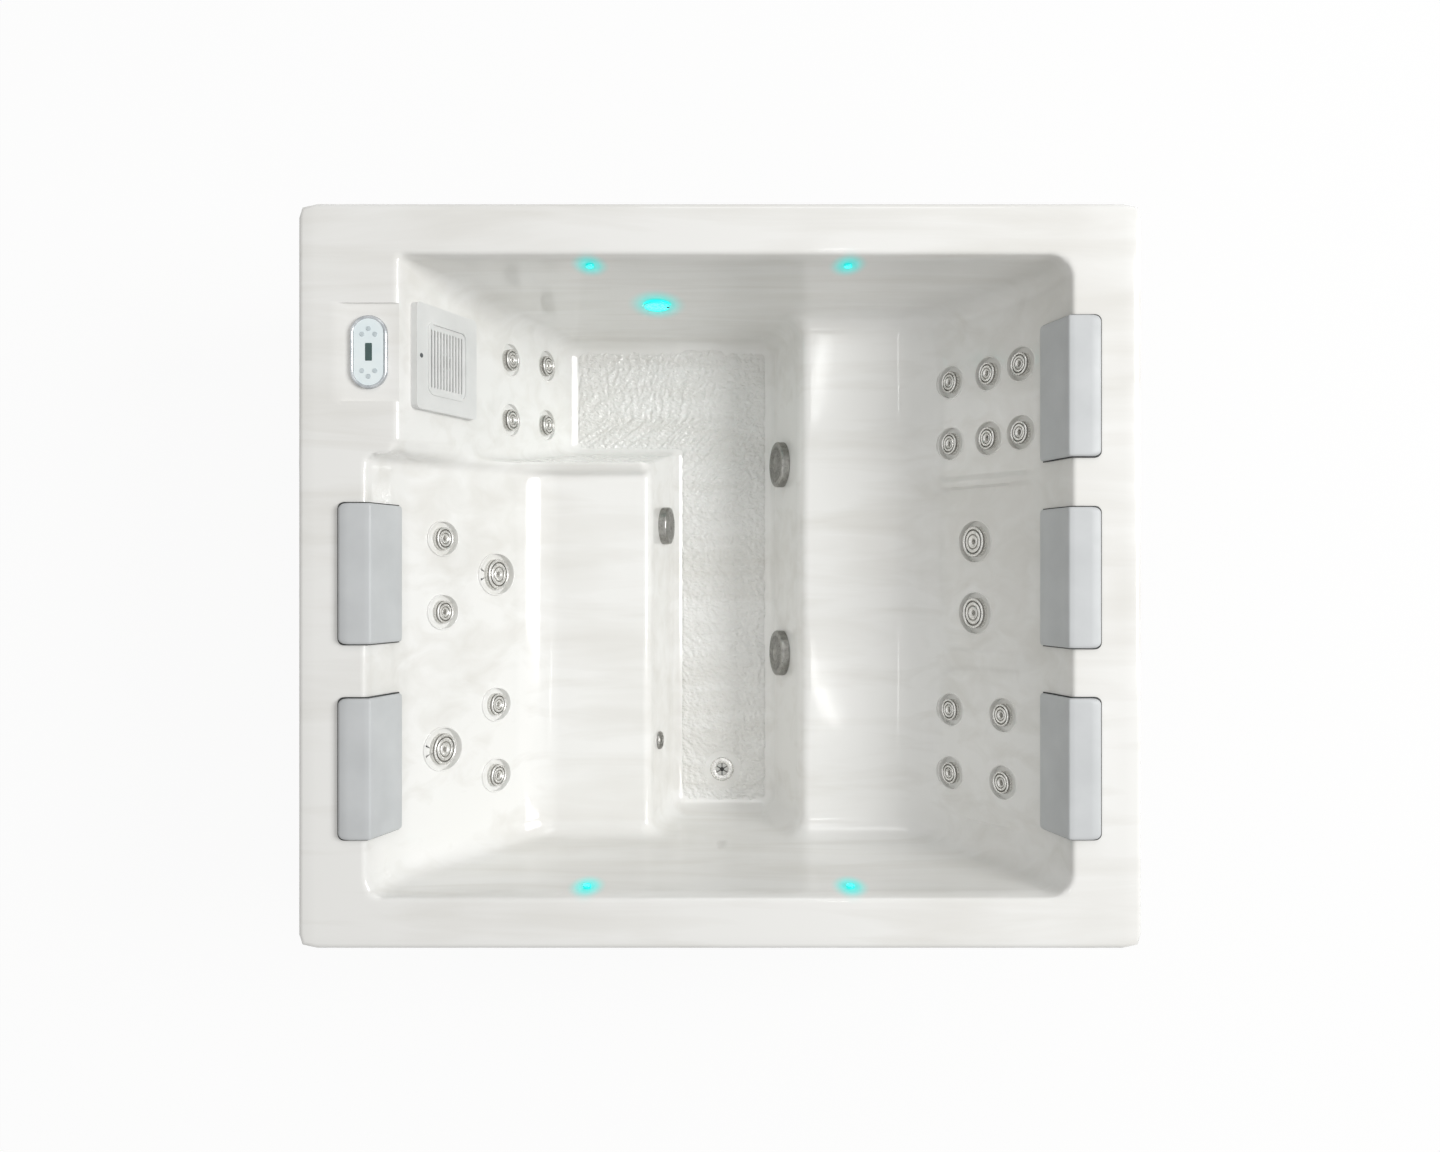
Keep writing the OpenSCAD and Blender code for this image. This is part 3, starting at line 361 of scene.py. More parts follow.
pleatPaper = finish("pleat_paper", [(222, 226, 228), (240, 242, 242)], (0.7, 0.9), 25, grain=300)
knobPlastic = finish("knob_plastic", [(168, 28, 24), (190, 40, 32)], (0.32, 0.45), 30, grain=500)
print("plain materials ready")

# small lights: x, height, side, radius
lampSpots = [(-0.340, 0.825, 1, 0.011), (0.334, 0.825, 1, 0.011), (-0.347, 0.825, -1, 0.011),
             (0.340, 0.825, -1, 0.011), (-0.181, 0.518, 1, 0.040)]


def lampPlace(spot):
    return Vector((spot[0], spot[2] * wallAt(endWall, spot[1]), spot[1]))


# glow: the lamps' cyan light, painted into the acrylic as a pool of light
acrylicLook = dict(light=(243, 243, 241), vein=(231, 230, 226), streak=7, haze=1.6, ripple=0.0016,
                   glow=(20, 226, 220), glowReach=0.058, glowBig=0.095, glowCore=0.35, glowTall=0.62,
                   glowStrength=0.42)


def acrylic(name, pebbles):
    # white cast acrylic with faint grey streaks along X, and the cyan light round each lamp painted into its colour
    # and emission as a painted pool of light
    look = acrylicLook
    material, tree, shader = blank(name)
    haze = grainNoise(tree, look["haze"], (1, 1.6, 1), 3)
    streaks = grainNoise(tree, look["streak"], (0.22, 1.9, 1.9), 6, (0, 0, 0.06), 0.7)
    pearl = between(tree, maths(tree, "MULTIPLY", haze, streaks), look["vein"], look["light"], 0.12, 0.3)
    normal = bump(tree, grainNoise(tree, 9, detail=1), look["ripple"], 0.35)
    if pebbles:
        normal = bump(tree, grainNoise(tree, 95, (1, 1.5, 1), 2, (0, 0, 0.5)), pebbles, 0.8, Normal=normal)
    # the glow reaches further up and down the steep wall
    tall = Vector((1, 1, look["glowTall"]))
    place = add(tree, "VectorMath", {0: add(tree, "TexCoord").outputs["Object"], 1: tall},
                operation="MULTIPLY").outputs[0]
    glow = 0
    for spot in lampSpots:
        reach = look["glowBig"] if spot[3] > 0.02 else look["glowReach"]
        away = add(tree, "VectorMath", {0: place, 1: lampPlace(spot) * tall}, operation="DISTANCE")
        near = spread(tree, away.outputs["Value"], 1, 0, spot[3] * look["glowCore"], reach,
                      interpolation_type="SMOOTHERSTEP")
        glow = maths(tree, "MAXIMUM", glow, near)
    wire(tree, shader, {"Base Color": blend(tree, glow, pearl, tone(*look["glow"])),
                        "Roughness": spread(tree, grainNoise(tree, 18, detail=2), 0.1, 0.17),
                        "Coat Weight": 0.35, "Coat Roughness": 0.07, "Normal": normal, "Coat Normal": normal,
                        "Emission Color": tone(*look["glow"]),
                        "Emission Strength": maths(tree, "MULTIPLY", glow, look["glowStrength"])})
    material.cycles.emission_sampling = "NONE"
    return material


def lensGlow():
    material, tree, shader = blank("lamp_lens")
    facets = grainNoise(tree, 220, detail=1)
    wire(tree, shader, {"Base Color": between(tree, facets, (0, 232, 222), (60, 250, 242)),
                        "Emission Color": between(tree, facets, (0, 240, 232), (90, 255, 250)),
                        "Emission Strength": 1.3, "Roughness": 0.15})
    return material


def boards():
    # embossed cabinet boards, grain along the board
    material, tree, shader = blank("cabinet_boards")
    grain = grainNoise(tree, 5, (1, 1, 14), 7, distortion=0.5)
    wire(tree, shader, {"Base Color": between(tree, grain, (104, 98, 91), (142, 134, 124)),
                        "Roughness": spread(tree, grain, 0.5, 0.72),
                        "Normal": bump(tree, grainNoise(tree, 40, (1, 1, 12), 4), 0.0012, 0.7)})
    return material


acrylicWhite = acrylic("acrylic", 0)
acrylicPebbled = acrylic("acrylic_pebbled", 0.0074)
lampLens = lensGlow()
cabinetBoards = boards()
print("acrylic, lens and boards ready")

shellShape = dict(
    xLines=[(-1.06, 0.027), (-0.93, 0.0053), (-0.898, 0.0045), (-0.862, 0.0055), (-0.819, 0.005), (-0.79, 0.012),
            (-0.58, 0.008), (-0.47, 0.014), (-0.25, 0.005), (-0.13, 0.013), (0.13, 0.005), (0.27, 0.014),
            (0.47, 0.008), (0.56, 0.007), (0.86, 0.005), (0.896, 0.0045), (0.93, 0.026), (1.06, 0)],
    yLines=[(-0.935, 0.02), (-0.85, 0.0045), (-0.818, 0.0045), (-0.69, 0.007), (-0.6, 0.014), (-0.3, 0.006),
            (-0.16, 0.014), (0.2, 0.006), (0.29, 0.0045), (0.308, 0.0045), (0.4, 0.014), (0.7, 0.0045),
            (0.818, 0.0045), (0.85, 0.02), (0.935, 0)],
    edge=0.015, lip=0.05, opening=0.058, bend=0.038, notch=0.012, notchGrow=0.3, leftSeatRound=0.05,
    rightSeatRound=0.068, neckRound=0.016, endRound=0.02, floorRound=0.035, frontRound=0.022, rimRound=0.011,
    curbFoot=0.016, curbTop=0.014, curbEnd=0.04, entryFoot=0.045, stepRound=0.03, entryEdge=0.012, entryGrow=0.03,
    entryFrom=0.48, entryOver=0.25, sharpX=-0.3, sharpY=0.4, under=0.02, above=0.03,
    curbStart=0.305, curb=0.025, benchEnd=0.339, benchEndTop=0.308, stepFoot=0.391, stepTop=0.300,
    ridge=0.0065, ridgeEdge=0.008, ridgeTop=0.78, ridgeFade=0.12, coarse=1.12, halvings=34,
    # the stretch of the left curb where the heights are evened out
    evenY=0.312, evenReach=0.034, evenEdge=0.008, evenFrom=-0.87, evenTo=-0.27, evenFade=0.02, evenTurns=6)
# contoured panels in the right backs: middle and half size along Y, corner radius; all at one height
backPanels = [(0.577, 0.295, 0.045), (0.022, 0.226, 0.04), (-0.476, 0.212, 0.09)]
panelMiddle, panelHalf = 0.75, 0.295


def lineSet(spec):
    # grid lines along one axis, from the start and the step of each stretch
    starts, steps = zip(*spec)
    values = []
    for a, b, step in zip(starts, starts[1:], steps):
        count = max(1, round((b - a) / step / shellShape["coarse"]))
        values += [a + (b - a) * i / count for i in range(count)]
    return np.array(values + [starts[-1]])


def wallField(a, z, low, high):
    # distance outward from a sloped wall
    da, dz = high[0] - low[0], high[1] - low[1]
    return ((a - low[0]) * dz - (z - low[1]) * da) / math.hypot(da, dz)


def roundMax(a, b, r):
    # both spaces, with a hollow fillet where their faces meet
    inside = np.hypot(np.maximum(r + a, 0), np.maximum(r + b, 0))
    return np.minimum(-r, np.maximum(a, b)) + inside


def roundMin(a, b, r):
    # either space, with a rounded edge where their faces meet
    inside = np.hypot(np.maximum(r - a, 0), np.maximum(r - b, 0))
    return np.maximum(r, np.minimum(a, b)) - inside


def softMax(a, b, k):
    # as roundMax, for faces that meet at a shallow angle
    return np.maximum(a, b) + np.maximum(k - np.abs(a - b), 0) ** 2 / (4 * k)


def softMin(a, b, k):
    return np.minimum(a, b) - np.maximum(k - np.abs(a - b), 0) ** 2 / (4 * k)


def easeIn(t):
    t = np.clip(t, 0, 1)
    return t * t * (3 - 2 * t)


def boxField(a, b, halfA, halfB, r):
    # distance outside a rectangle with round corners about the middle
    da, db = np.abs(a) - halfA + r, np.abs(b) - halfB + r
    return np.hypot(np.maximum(da, 0), np.maximum(db, 0)) + np.minimum(np.maximum(da, db), 0) - r


def ridges(y, z):
    # the back stands proud between and beside its contoured panels
    outside = np.ones_like(y)
    for middle, half, r in backPanels:
        away = boxField(y - middle, z - panelMiddle, half, panelHalf, r)
        outside = np.minimum(outside, easeIn(away / shellShape["ridgeEdge"]))
    return shellShape["ridge"] * outside * easeIn((shellShape["ridgeTop"] - z) / shellShape["ridgeFade"])


def airField(x, y, z):
    # below 0 in the air of the basin or above the rim
    s = shellShape

    def back(a, line):
        return softMax(*[wallField(a, z, *part) for part in (line[:2], line[1:])], s["neckRound"])

    right, left = back(x, rightBack) + ridges(y, z), back(-x, leftBack)
    footwell = roundMax(np.maximum(wallField(x, z, *rightFront), wallField(-x, z, *leftFront)),
                        floorZ - z, s["floorRound"])
    rightBench = np.maximum(roundMax(right, seatZ - z, s["rightSeatRound"]), -x)
    low = roundMax(roundMax(left, seatZ - z, s["leftSeatRound"]), y - s["curbStart"], s["curbFoot"])
    benchEnd = wallField(y, z, (s["benchEnd"], seatZ + s["curb"]), (s["benchEndTop"], rimZ))
    high = roundMax(roundMax(left, seatZ + s["curb"] - z, s["leftSeatRound"]), benchEnd, s["curbEnd"])
    leftBench = np.maximum(roundMin(low, high, s["curbTop"]), x)
    step = np.maximum(wallField(-y, z, (-s["stepFoot"], floorZ), (-s["benchEnd"], seatZ)),
                      wallField(-y, z, (-s["benchEnd"], seatZ), (-s["stepTop"], rimZ)))
    entry = roundMax(roundMax(wallField(-x, z, *entrySlope), floorZ - z, s["entryFoot"]), step, s["stepRound"])
    entry = np.maximum(entry, x)
    basin = roundMin(footwell, rightBench, s["frontRound"])
    basin = roundMin(basin, leftBench, s["frontRound"])
    basin = roundMin(basin, entry, s["entryEdge"] + s["entryGrow"] * easeIn((z - s["entryFrom"]) / s["entryOver"]))
    ends = softMin(*[wallField(np.abs(y), z, *part) for part in (endWall[:2], endWall[1:])], s["endRound"])
    # the corner by the entry is sharp at the rim and rounder below
    sharpCorner = np.clip(s["notch"] + s["notchGrow"] * (rimZ - z), 0, s["opening"])
    corner = np.where((x < s["sharpX"]) & (y > s["sharpY"]), sharpCorner, s["opening"])
    basin = roundMax(basin, ends, corner)
    return roundMin(rimZ - z, basin, s["rimRound"])


def bendCorner(x, y, corner, legs, r):
    # draw the lines that cross at a corner onto an arc of radius r
    u, v = (x - corner[0]) * legs[0], (y - corner[1]) * legs[1]

    def pull(s):
        turn = math.pi / 4 * (1 - np.clip(s / r, 0, 1))
        return r - r * np.sin(turn) - np.clip(s, 0, r), r - r * np.cos(turn)

    alongX, awayX = pull(u)
    alongY, awayY = pull(v)
    share = np.abs(u) / (np.abs(u) + np.abs(v) + 1e-9)
    apart = np.minimum(np.hypot(np.minimum(u, 0), v), np.hypot(u, np.minimum(v, 0)))
    fade = np.clip(1 - apart / (1.6 * r), 0, 1) ** 2
    du = fade * (share * alongX + (1 - share) * awayY)
    dv = fade * (share * awayX + (1 - share) * alongY)
    return x + legs[0] * du, y + legs[1] * dv


def bendLines(x, y):
    s = shellShape
    right, left, slope, end = rightBack[2][0], leftBack[2][0], entrySlope[1][0], endWall[2][0]
    corners = [((right, end), (-1, -1), s["opening"]), ((right, -end), (-1, 1), s["opening"]),
               ((-left, -end), (1, 1), s["opening"]), ((-slope, end), (1, -1), s["notch"]),
               ((-left, s["benchEndTop"]), (1, -1), s["bend"]), ((-slope, s["benchEndTop"]), (-1, 1), s["bend"])]
    outX, outY = s["xLines"][-1][0], s["yLines"][-1][0]
    corners += [((a * outX, b * outY), (-a, -b), s["edge"]) for a in (1, -1) for b in (1, -1)]
    for corner, legs, r in corners:
        x, y = bendCorner(x, y, corner, legs, r)
    return x, y


def evened(sheet, xs, ys):
    # smooth the heights along X where the grid runs along the curb of the left bench
    s = shellShape
    near = np.clip((s["evenReach"] - np.abs(ys - s["evenY"])) / s["evenEdge"], 0, 1)[:, None]
    near = near * np.clip((xs - s["evenFrom"]) / s["evenFade"], 0, 1) * (xs < s["evenTo"])
    for turn in range(s["evenTurns"]):
        even = (np.roll(sheet, 1, 1) + np.roll(sheet, -1, 1)) / 2
        sheet = sheet + 0.5 * near * (even - sheet)
    return sheet


def shellSheet():
    # one sheet over rim and basin: a grid whose lines follow the creases, lowered to the moulded form
    s = shellShape
    xs, ys = lineSet(s["xLines"]), lineSet(s["yLines"])
    bm = bmesh.new()
    ops.create_grid(bm, x_segments=len(xs) - 1, y_segments=len(ys) - 1, size=1)
    column, row = [np.rint((c + 1) / 2 * (len(lines) - 1)).astype(int)
                   for c, lines in zip(flatPoints(bm), (xs, ys))]
    x, y = bendLines(xs[column], ys[row])
    # the surface is found by halving between under the floor and above the rim
    low, high = np.full(len(x), floorZ - s["under"]), np.full(len(x), rimZ + s["above"])
    for halving in range(s["halvings"]):
        z = (low + high) / 2
        air = airField(x, y, z) < 0
        high = np.where(air, z, high)
        low = np.where(air, low, z)
    sheet = np.zeros((len(ys), len(xs)))
    sheet[row, column] = (low + high) / 2
    z = evened(sheet, xs, ys)[row, column]
    for v, a, b, c in zip(bm.verts, x, y, z):
        v.co = (a, b, c)
    # the hanging lip, round at its top
    arc = [(s["edge"] * math.sin(math.radians(22.5 * k)), s["edge"] * (1 - math.cos(math.radians(22.5 * k))))
           for k in range(5)] + [(s["edge"], s["lip"])]
    limit = (s["xLines"][-1][0] - s["edge"], s["yLines"][-1][0] - s["edge"])
    edges = [e for e in bm.edges if e.is_boundary]
    for (out0, down0), (out1, down1) in zip(arc, arc[1:]):
        made = ops.extrude_edge_only(bm, edges=edges)["geom"]
        edges = pick(made, bmesh.types.BMEdge)
        for v in pick(made, bmesh.types.BMVert):
            inner = [min(max(c, -most), most) for c, most in zip(v.co.xy, limit)]
            way = Vector((v.co.x - inner[0], v.co.y - inner[1], 0)).normalized()
            v.co += way * (out1 - out0) - Vector((0, 0, down1 - down0))
    faceOut(bm)
    if sum(f.normal.z for f in bm.faces) < 0:
        ops.reverse_faces(bm, faces=bm.faces)
    return bm


# jets by wall: side, wall and elevation, then for each its depth below the rim, place along Y and face radius
small, large = 0.031, 0.043
jetRows = dict(
    left=(1, leftBack[:2], 30, [
        (0.236, 0.103, small), (0.236, -0.099, small), (0.370, 0.005, large), (0.370, -0.368, small),
        (0.236, -0.476, large), (0.370, -0.571, small)]),
    entry=(1, entrySlope, leanOf(*entrySlope), [
        (0.469, 0.638, small), (0.652, 0.654, small), (0.469, 0.461, small), (0.652, 0.470, small)]),
    right=(-1, rightBack[:2], 28, [
        (0.195, 0.576, small), (0.288, 0.566, small), (0.403, 0.561, small), (0.195, 0.390, small),
        (0.288, 0.385, small), (0.403, 0.383, small), (0.328, 0.097, large), (0.328, -0.105, large),
        (0.246, -0.384, small), (0.403, -0.387, small), (0.246, -0.570, small), (0.403, -0.570, small)]))
jetShape = dict(ring=0.015, lip=0.0035, recess=0.011, under=0.006, tall=0.03, round=0.0012, cut=0.045,
                flange=0.008, rise=0.009, nozzle=0.007, stem=0.03, foot=0.0043, wall=0.005, play=0.00036,
                grooves=((0.43, 0.525), (0.72, 0.815)), grooveDeep=0.0035, collar=0.955, collarTop=0.002,
                overlap=0.0006)


def planJets():
    # every jet's name, face radius and axis, and the axis of the wall at its middle
    plan = []
    for kind, (side, line, elevation, spots) in jetRows.items():
        for i, (depth, y, radius) in enumerate(spots, 1):
            z = rimZ - depth
            middle = (-side * wallAt(line, z), y, z)
            plan.append(dict(name=f"jet_{kind}_{i}", radius=radius, axis=onWall(*middle, elevation, side),
                             wall=onWall(*middle, leanOf(*line), side)))
    return plan


jetPlan = planJets()
pocketShape = dict(outer=0.972, inner=0.77, bevel=0.020, depth=0.006, y=0.570, half=0.1255)
skimmerY, skimmerZ = 0.572, 0.735
skimmerPlace = onWall(-wallAt(entrySlope, skimmerZ), skimmerY, skimmerZ, leanOf(*entrySlope), 1)
# radius, and how far it goes down and up
skimmerHole = (0.0853, -0.08, 0.05)
padSpots = dict(left_upper=(-1, 0.006), left_lower=(-1, -0.490), right_upper=(1, 0.483),
                right_middle=(1, -0.004), right_lower=(1, -0.4895))
padShape = dict(length=0.358, reach=0.071, rise=0.018, drop=0.128, thick=0.016, pin=0.005, pinX=0.0395,
                pinY=0.110, pinPlay=0.0003, pinHole=(-0.02, 0.01))


def jetCups():
    # the moulded recess round each jet, trimmed to the plane of the wall
    cups = bmesh.new()
    j = jetShape
    for jet in jetPlan:
        wall, wide, hole = jet["wall"], jet["radius"] + j["ring"], jet["radius"] - j["flange"]
        floor, low, edge = -j["recess"], -j["recess"] - j["under"], wide + j["lip"]
        cup = spun([(hole, low), (hole, floor), (wide, floor), (wide, j["tall"]), (edge, j["tall"]), (edge, low)], 60)
        cup.transform(jet["axis"])
        cut = ops.bisect_plane(cup, geom=cup.verts[:] + cup.edges[:] + cup.faces[:], clear_outer=True,
                               plane_co=wall @ Vector((0, 0, j["round"])), plane_no=wall.col[2].xyz)["geom_cut"]
        rings = pick(cut, bmesh.types.BMEdge)
        ops.bridge_loops(cup, edges=rings)
        rounded(cup, rings, j["round"])
        faceOut(cup)
        merge(cups, cup)
    fitPiece(cups, "jet_recesses", acrylicWhite, 40, "tub", "shell")


def seatBack(side, z, off=0):
    # X of the seat back under a headrest at height z, or of a face that stands off it
    (x0, z0), (x1, z1) = (rightBack if side > 0 else leftBack)[1:]
    return x1 - (x1 - x0) / (z1 - z0) * (rimZ - z) - off


def pinPlaces(side, y):
    # where a headrest's two pins stand in the rim
    x = side * (seatBack(side, rimZ) + padShape["pinX"])
    return [at(x, y + way * padShape["pinY"], rimZ) for way in (-1, 1)]


def shellCutters():
    # what is cut out of the moulding: jets, skimmer, headrest pins and the control pocket
    cuts = bmesh.new()
    j = jetShape
    for jet in jetPlan:
        wide = jet["radius"] + j["ring"] + j["lip"] - j["overlap"]
        merge(cuts, drum(wide, -j["cut"], j["cut"], 60), jet["axis"])
    merge(cuts, drum(*skimmerHole, 64), skimmerPlace)
    for side, y in padSpots.values():
        for place in pinPlaces(side, y):
            merge(cuts, drum(padShape["pin"] + padShape["pinPlay"], *padShape["pinHole"], 20), place)
    p = pocketShape
    top, low = rimZ + 0.001, rimZ - p["depth"]
    pocket = prism([(-p["outer"], top), (-p["outer"], rimZ), (-p["outer"] + p["bevel"], low), (-p["inner"], low),
                    (-p["inner"], top)], 2 * p["half"])
    pocket.transform(at(0, p["y"] + p["half"], 0) @ turned(90, "X"))
    merge(cuts, pocket)
    return cuts


def buildShell():
    shell = makePiece(shellSheet(), "tub_shell_moulding", acrylicWhite, 180)
    wall = shell.modifiers.new("wall", "SOLIDIFY")
    wall.thickness = tub["thickness"]
    wall.offset = -1
    applyModifiers(shell)
    for v in shell.data.vertices:
        v.co.x = min(max(v.co.x, cadBox[0][0]), cadBox[1][0])
        v.co.y = min(max(v.co.y, cadBox[0][1]), cadBox[1][1])
    combine(shell, shellCutters())
    smooth(shell, 38)
    dress(shell, "tub", "shell", "tub_shell")
    return shell


shell = buildShell()
print("shell", len(shell.data.polygons), "faces")

# legs: an L of two rectangles with round corners, as x from and to, y from and to, and radius
treadShape = dict(
    step=0.0032, height=0.0064, bite=0.012, sunk=0.0004, foot=0.003, low=(-0.47, -0.75), high=(0.16, 0.75),
    legs=[(-0.128, 0.152, -0.742, 0.738, 0.035), (-0.464, 0.152, 0.402, 0.738, 0.03)], along=22, across=52, pebble=95,
    sway=9, swayBy=0.03, lean=62, leanBy=40, leanFrom=0.2, leanOver=0.3, plain=0.35, rippleBy=0.55, pebbleBy=0.35)
drainShape = dict(r=0.038, height=0.006, bars=6, x=0.0065, y=-0.623, bare=0.055)


def treadEdge(x, y):
    # distance inside the outline of the textured floor
    return np.maximum(*[-boxField(x - (x0 + x1) / 2, y - (y0 + y1) / 2, (x1 - x0) / 2, (y1 - y0) / 2, r)
                        for x0, x1, y0, y1, r in treadShape["legs"]])


def buildTread():
    t = treadShape
    bm = bmesh.new()
    size = [b - a for a, b in zip(t["low"], t["high"])]
    middle = [(a + b) / 2 for a, b in zip(t["low"], t["high"])]
    nx, ny = [round(c / t["step"]) for c in size]
    ops.create_grid(bm, x_segments=nx, y_segments=ny, size=0.5)
    ops.scale(bm, verts=bm.verts, vec=(*size, 1))
    ops.translate(bm, verts=bm.verts, vec=(*middle, 0))
    edge = treadEdge(*flatPoints(bm))
    ops.delete(bm, geom=[v for v, d in zip(list(bm.verts), edge) if d < -t["step"]], context="VERTS")
    x, y = flatPoints(bm)
    edge = treadEdge(x, y)
    drain = np.hypot(x - drainShape["x"], y - drainShape["y"]) - drainShape["bare"]
    rise = easeIn(np.minimum(edge, drain) / t["bite"])
    for v, k in zip(bm.verts, rise):
        p = v.co
        # ripples lean one way in the narrow part and the other way by the step
        lean = math.radians(t["lean"] + t["leanBy"] * min(max((p.y - t["leanFrom"]) / t["leanOver"], 0), 1))
        along = p.x * math.cos(lean) - p.y * math.sin(lean)
        across = p.x * math.sin(lean) + p.y * math.cos(lean)
        sway = noise.noise((p.x * t["sway"], p.y * t["sway"], 3.1)) * t["swayBy"]
        spot = Vector((along * t["along"], (across + sway) * t["across"], 1.7))
        ripple = noise.ridged_multi_fractal(spot, 0.9, 2.1, 3, 0.9, 1.6)
        pebble = noise.noise((p.x * t["pebble"], p.y * t["pebble"], 0.4))
        p.z = floorZ - t["sunk"] + k * t["height"] * (t["plain"] + t["rippleBy"] * ripple + t["pebbleBy"] * pebble)
    made = ops.extrude_edge_only(bm, edges=[e for e in bm.edges if e.is_boundary])["geom"]
    for v in pick(made, bmesh.types.BMVert):
        v.co.z = floorZ - t["foot"]
    ops.contextual_create(bm, geom=pick(made, bmesh.types.BMEdge))
    faceOut(bm)
    return fitPiece(bm, "footwell_tread", acrylicPebbled, 180, "tub", "shell")


tread = buildTread()
print("tread", len(tread.data.polygons), "faces")


def jetProfile(r):
    # from the stem's foot up the outside, over the face with its grooves, to the nozzle
    j = jetShape
    base = j["foot"] - j["recess"]
    stem = r - j["flange"] - j["wall"] - j["play"]
    n, top = j["nozzle"], j["rise"]
    return [(n, base - j["stem"]), (stem, base - j["stem"]), (stem, base), (r - 0.0008, base), (r, base + 0.0008),
            (r, 0.0004), (r - 0.0012, 0.0012), (r - 0.0012, 0.0024), (r, 0.0032), (r, top - 0.0026),
            (r - 0.0007, top - 0.001), (r - 0.0022, top), (r * 0.9, top), (r * 0.84, top - 0.0008),
            (r * 0.815, top - 0.0022), (r * 0.805, top - 0.0055), (r * 0.735, top - 0.0055),
            (r * 0.725, top - 0.002), (r * 0.69, top - 0.0006), (r * 0.64, top - 0.0003), (r * 0.56, top - 0.0003),
            (r * 0.52, top - 0.0012), (r * 0.505, top - 0.005), (r * 0.44, top - 0.005), (r * 0.43, top - 0.0018),
            (r * 0.39, top - 0.0006), (r * 0.33, top - 0.001), (n + 0.0012, top - 0.0035), (n, top - 0.006)]


def buildJets():
    j = jetShape
    for jet in jetPlan:
        name = jet["name"]
        bm = spun(jetProfile(jet["radius"]), 60)
        for face in bm.faces:
            # the collar and the two grooves get the darker steel, painted shade on the jet's side and in its grooves
            middle = face.calc_center_median()
            away = middle.xy.length / jet["radius"]
            groove = middle.z < j["rise"] - j["grooveDeep"] and any(a < away < b for a, b in j["grooves"])
            if middle.z > 0 and (groove or away > j["collar"] and middle.z < j["rise"] - j["collarTop"]):
                face.material_index = 1
        bm.transform(jet["axis"])
        fitPiece(bm, name + "_face", steel, 40, name, "steel", name).data.materials.append(jetShadeSteel)


jetCups()
buildJets()
print("jets ready")

# suction covers, return and drain: drums with rows of small sunk slots
suctionShape = dict(steps=72, slotDepth=0.0016, slotEdge=0.0007)
suctionSpots = [(1, rightFront, 0.24, 0.347, 0.070), (1, rightFront, 0.24, -0.240, 0.070),
                (-1, leftFront, 0.272, 0.155, 0.057)]


def sink(bm, chosen, edge, depth):
    # press a slot into each chosen face
    ops.inset_individual(bm, faces=chosen, thickness=edge, depth=0)
    ops.inset_individual(bm, faces=chosen, thickness=edge * 0.3, depth=-depth)


def slotRows(bm, rows):
    # every second face round the axis whose middle lies between two radii and two heights
    step = 2 * math.pi / suctionShape["steps"]
    chosen = []
    for face in bm.faces:
        middle = face.calc_center_median()
        turn = math.floor((math.atan2(middle.y, middle.x) % (2 * math.pi)) / step + 0.001)
        for k, (r0, r1, z0, z1) in enumerate(rows):
            if r0 < middle.xy.length < r1 and z0 < middle.z < z1 and (turn + k) % 2 == 0:
                chosen.append(face)
    return chosen


def buildSuction():
    s = suctionShape
    covers = bmesh.new()
    for side, line, z, y, r in suctionSpots:
        cover = spun([
            (0, 0.0003), (r - 0.001, 0.0003), (r, 0.0013), (r, 0.004), (r, 0.0085), (r, 0.0100), (r, 0.0145),
            (r, 0.0160), (r, 0.0205), (r - 0.001, 0.0225), (r - 0.003, 0.0242), (r - 0.0075, 0.025),
            (r * 0.78, 0.025), (r * 0.64, 0.0252), (r * 0.61, 0.0252), (r * 0.48, 0.0252), (r * 0.45, 0.0252),
            (r * 0.32, 0.0252), (r * 0.29, 0.0248), (r * 0.24, 0.0232), (r * 0.1, 0.0226), (0, 0.0226)], s["steps"])
        # three rows of slots round the side and three on the face
        rows = [(r * 0.97, r * 1.1, low, low + 0.0043) for low in (0.0041, 0.0101, 0.0161)]
        rows += [(r * inner, r * (inner + 0.12), 0.02, 0.03) for inner in (0.65, 0.485, 0.325)]
        sink(cover, slotRows(cover, rows), s["slotEdge"], s["slotDepth"])
        cover.transform(onWall(side * wallAt(line, z), y, z, leanOf(*line), -side))
        merge(covers, cover)
    fitPiece(covers, "suction_drums", darkSteel, 30, "tub", "chrome", "suction_covers")


returnShape = dict(r=0.027, y=-0.501, z=0.320)


def buildReturn():
    r, y, z = returnShape.values()
    ring = spun([(0, 0.0003), (r - 0.001, 0.0003), (r, 0.0012), (r, 0.005), (r - 0.002, 0.0085), (r - 0.005, 0.010),
                 (r * 0.62, 0.0095), (r * 0.56, 0.006), (r * 0.5, 0.0052), (r * 0.42, 0.0085), (r * 0.3, 0.0096),
                 (r * 0.24, 0.0086), (r * 0.22, 0.002), (0, 0.002)], 48)
    ring.transform(onWall(-wallAt(leftFront, z), y, z, leanOf(*leftFront), 1))
    fitPiece(ring, "return_eyeball", darkSteel, 35, "tub", "fitting", "return_fitting")


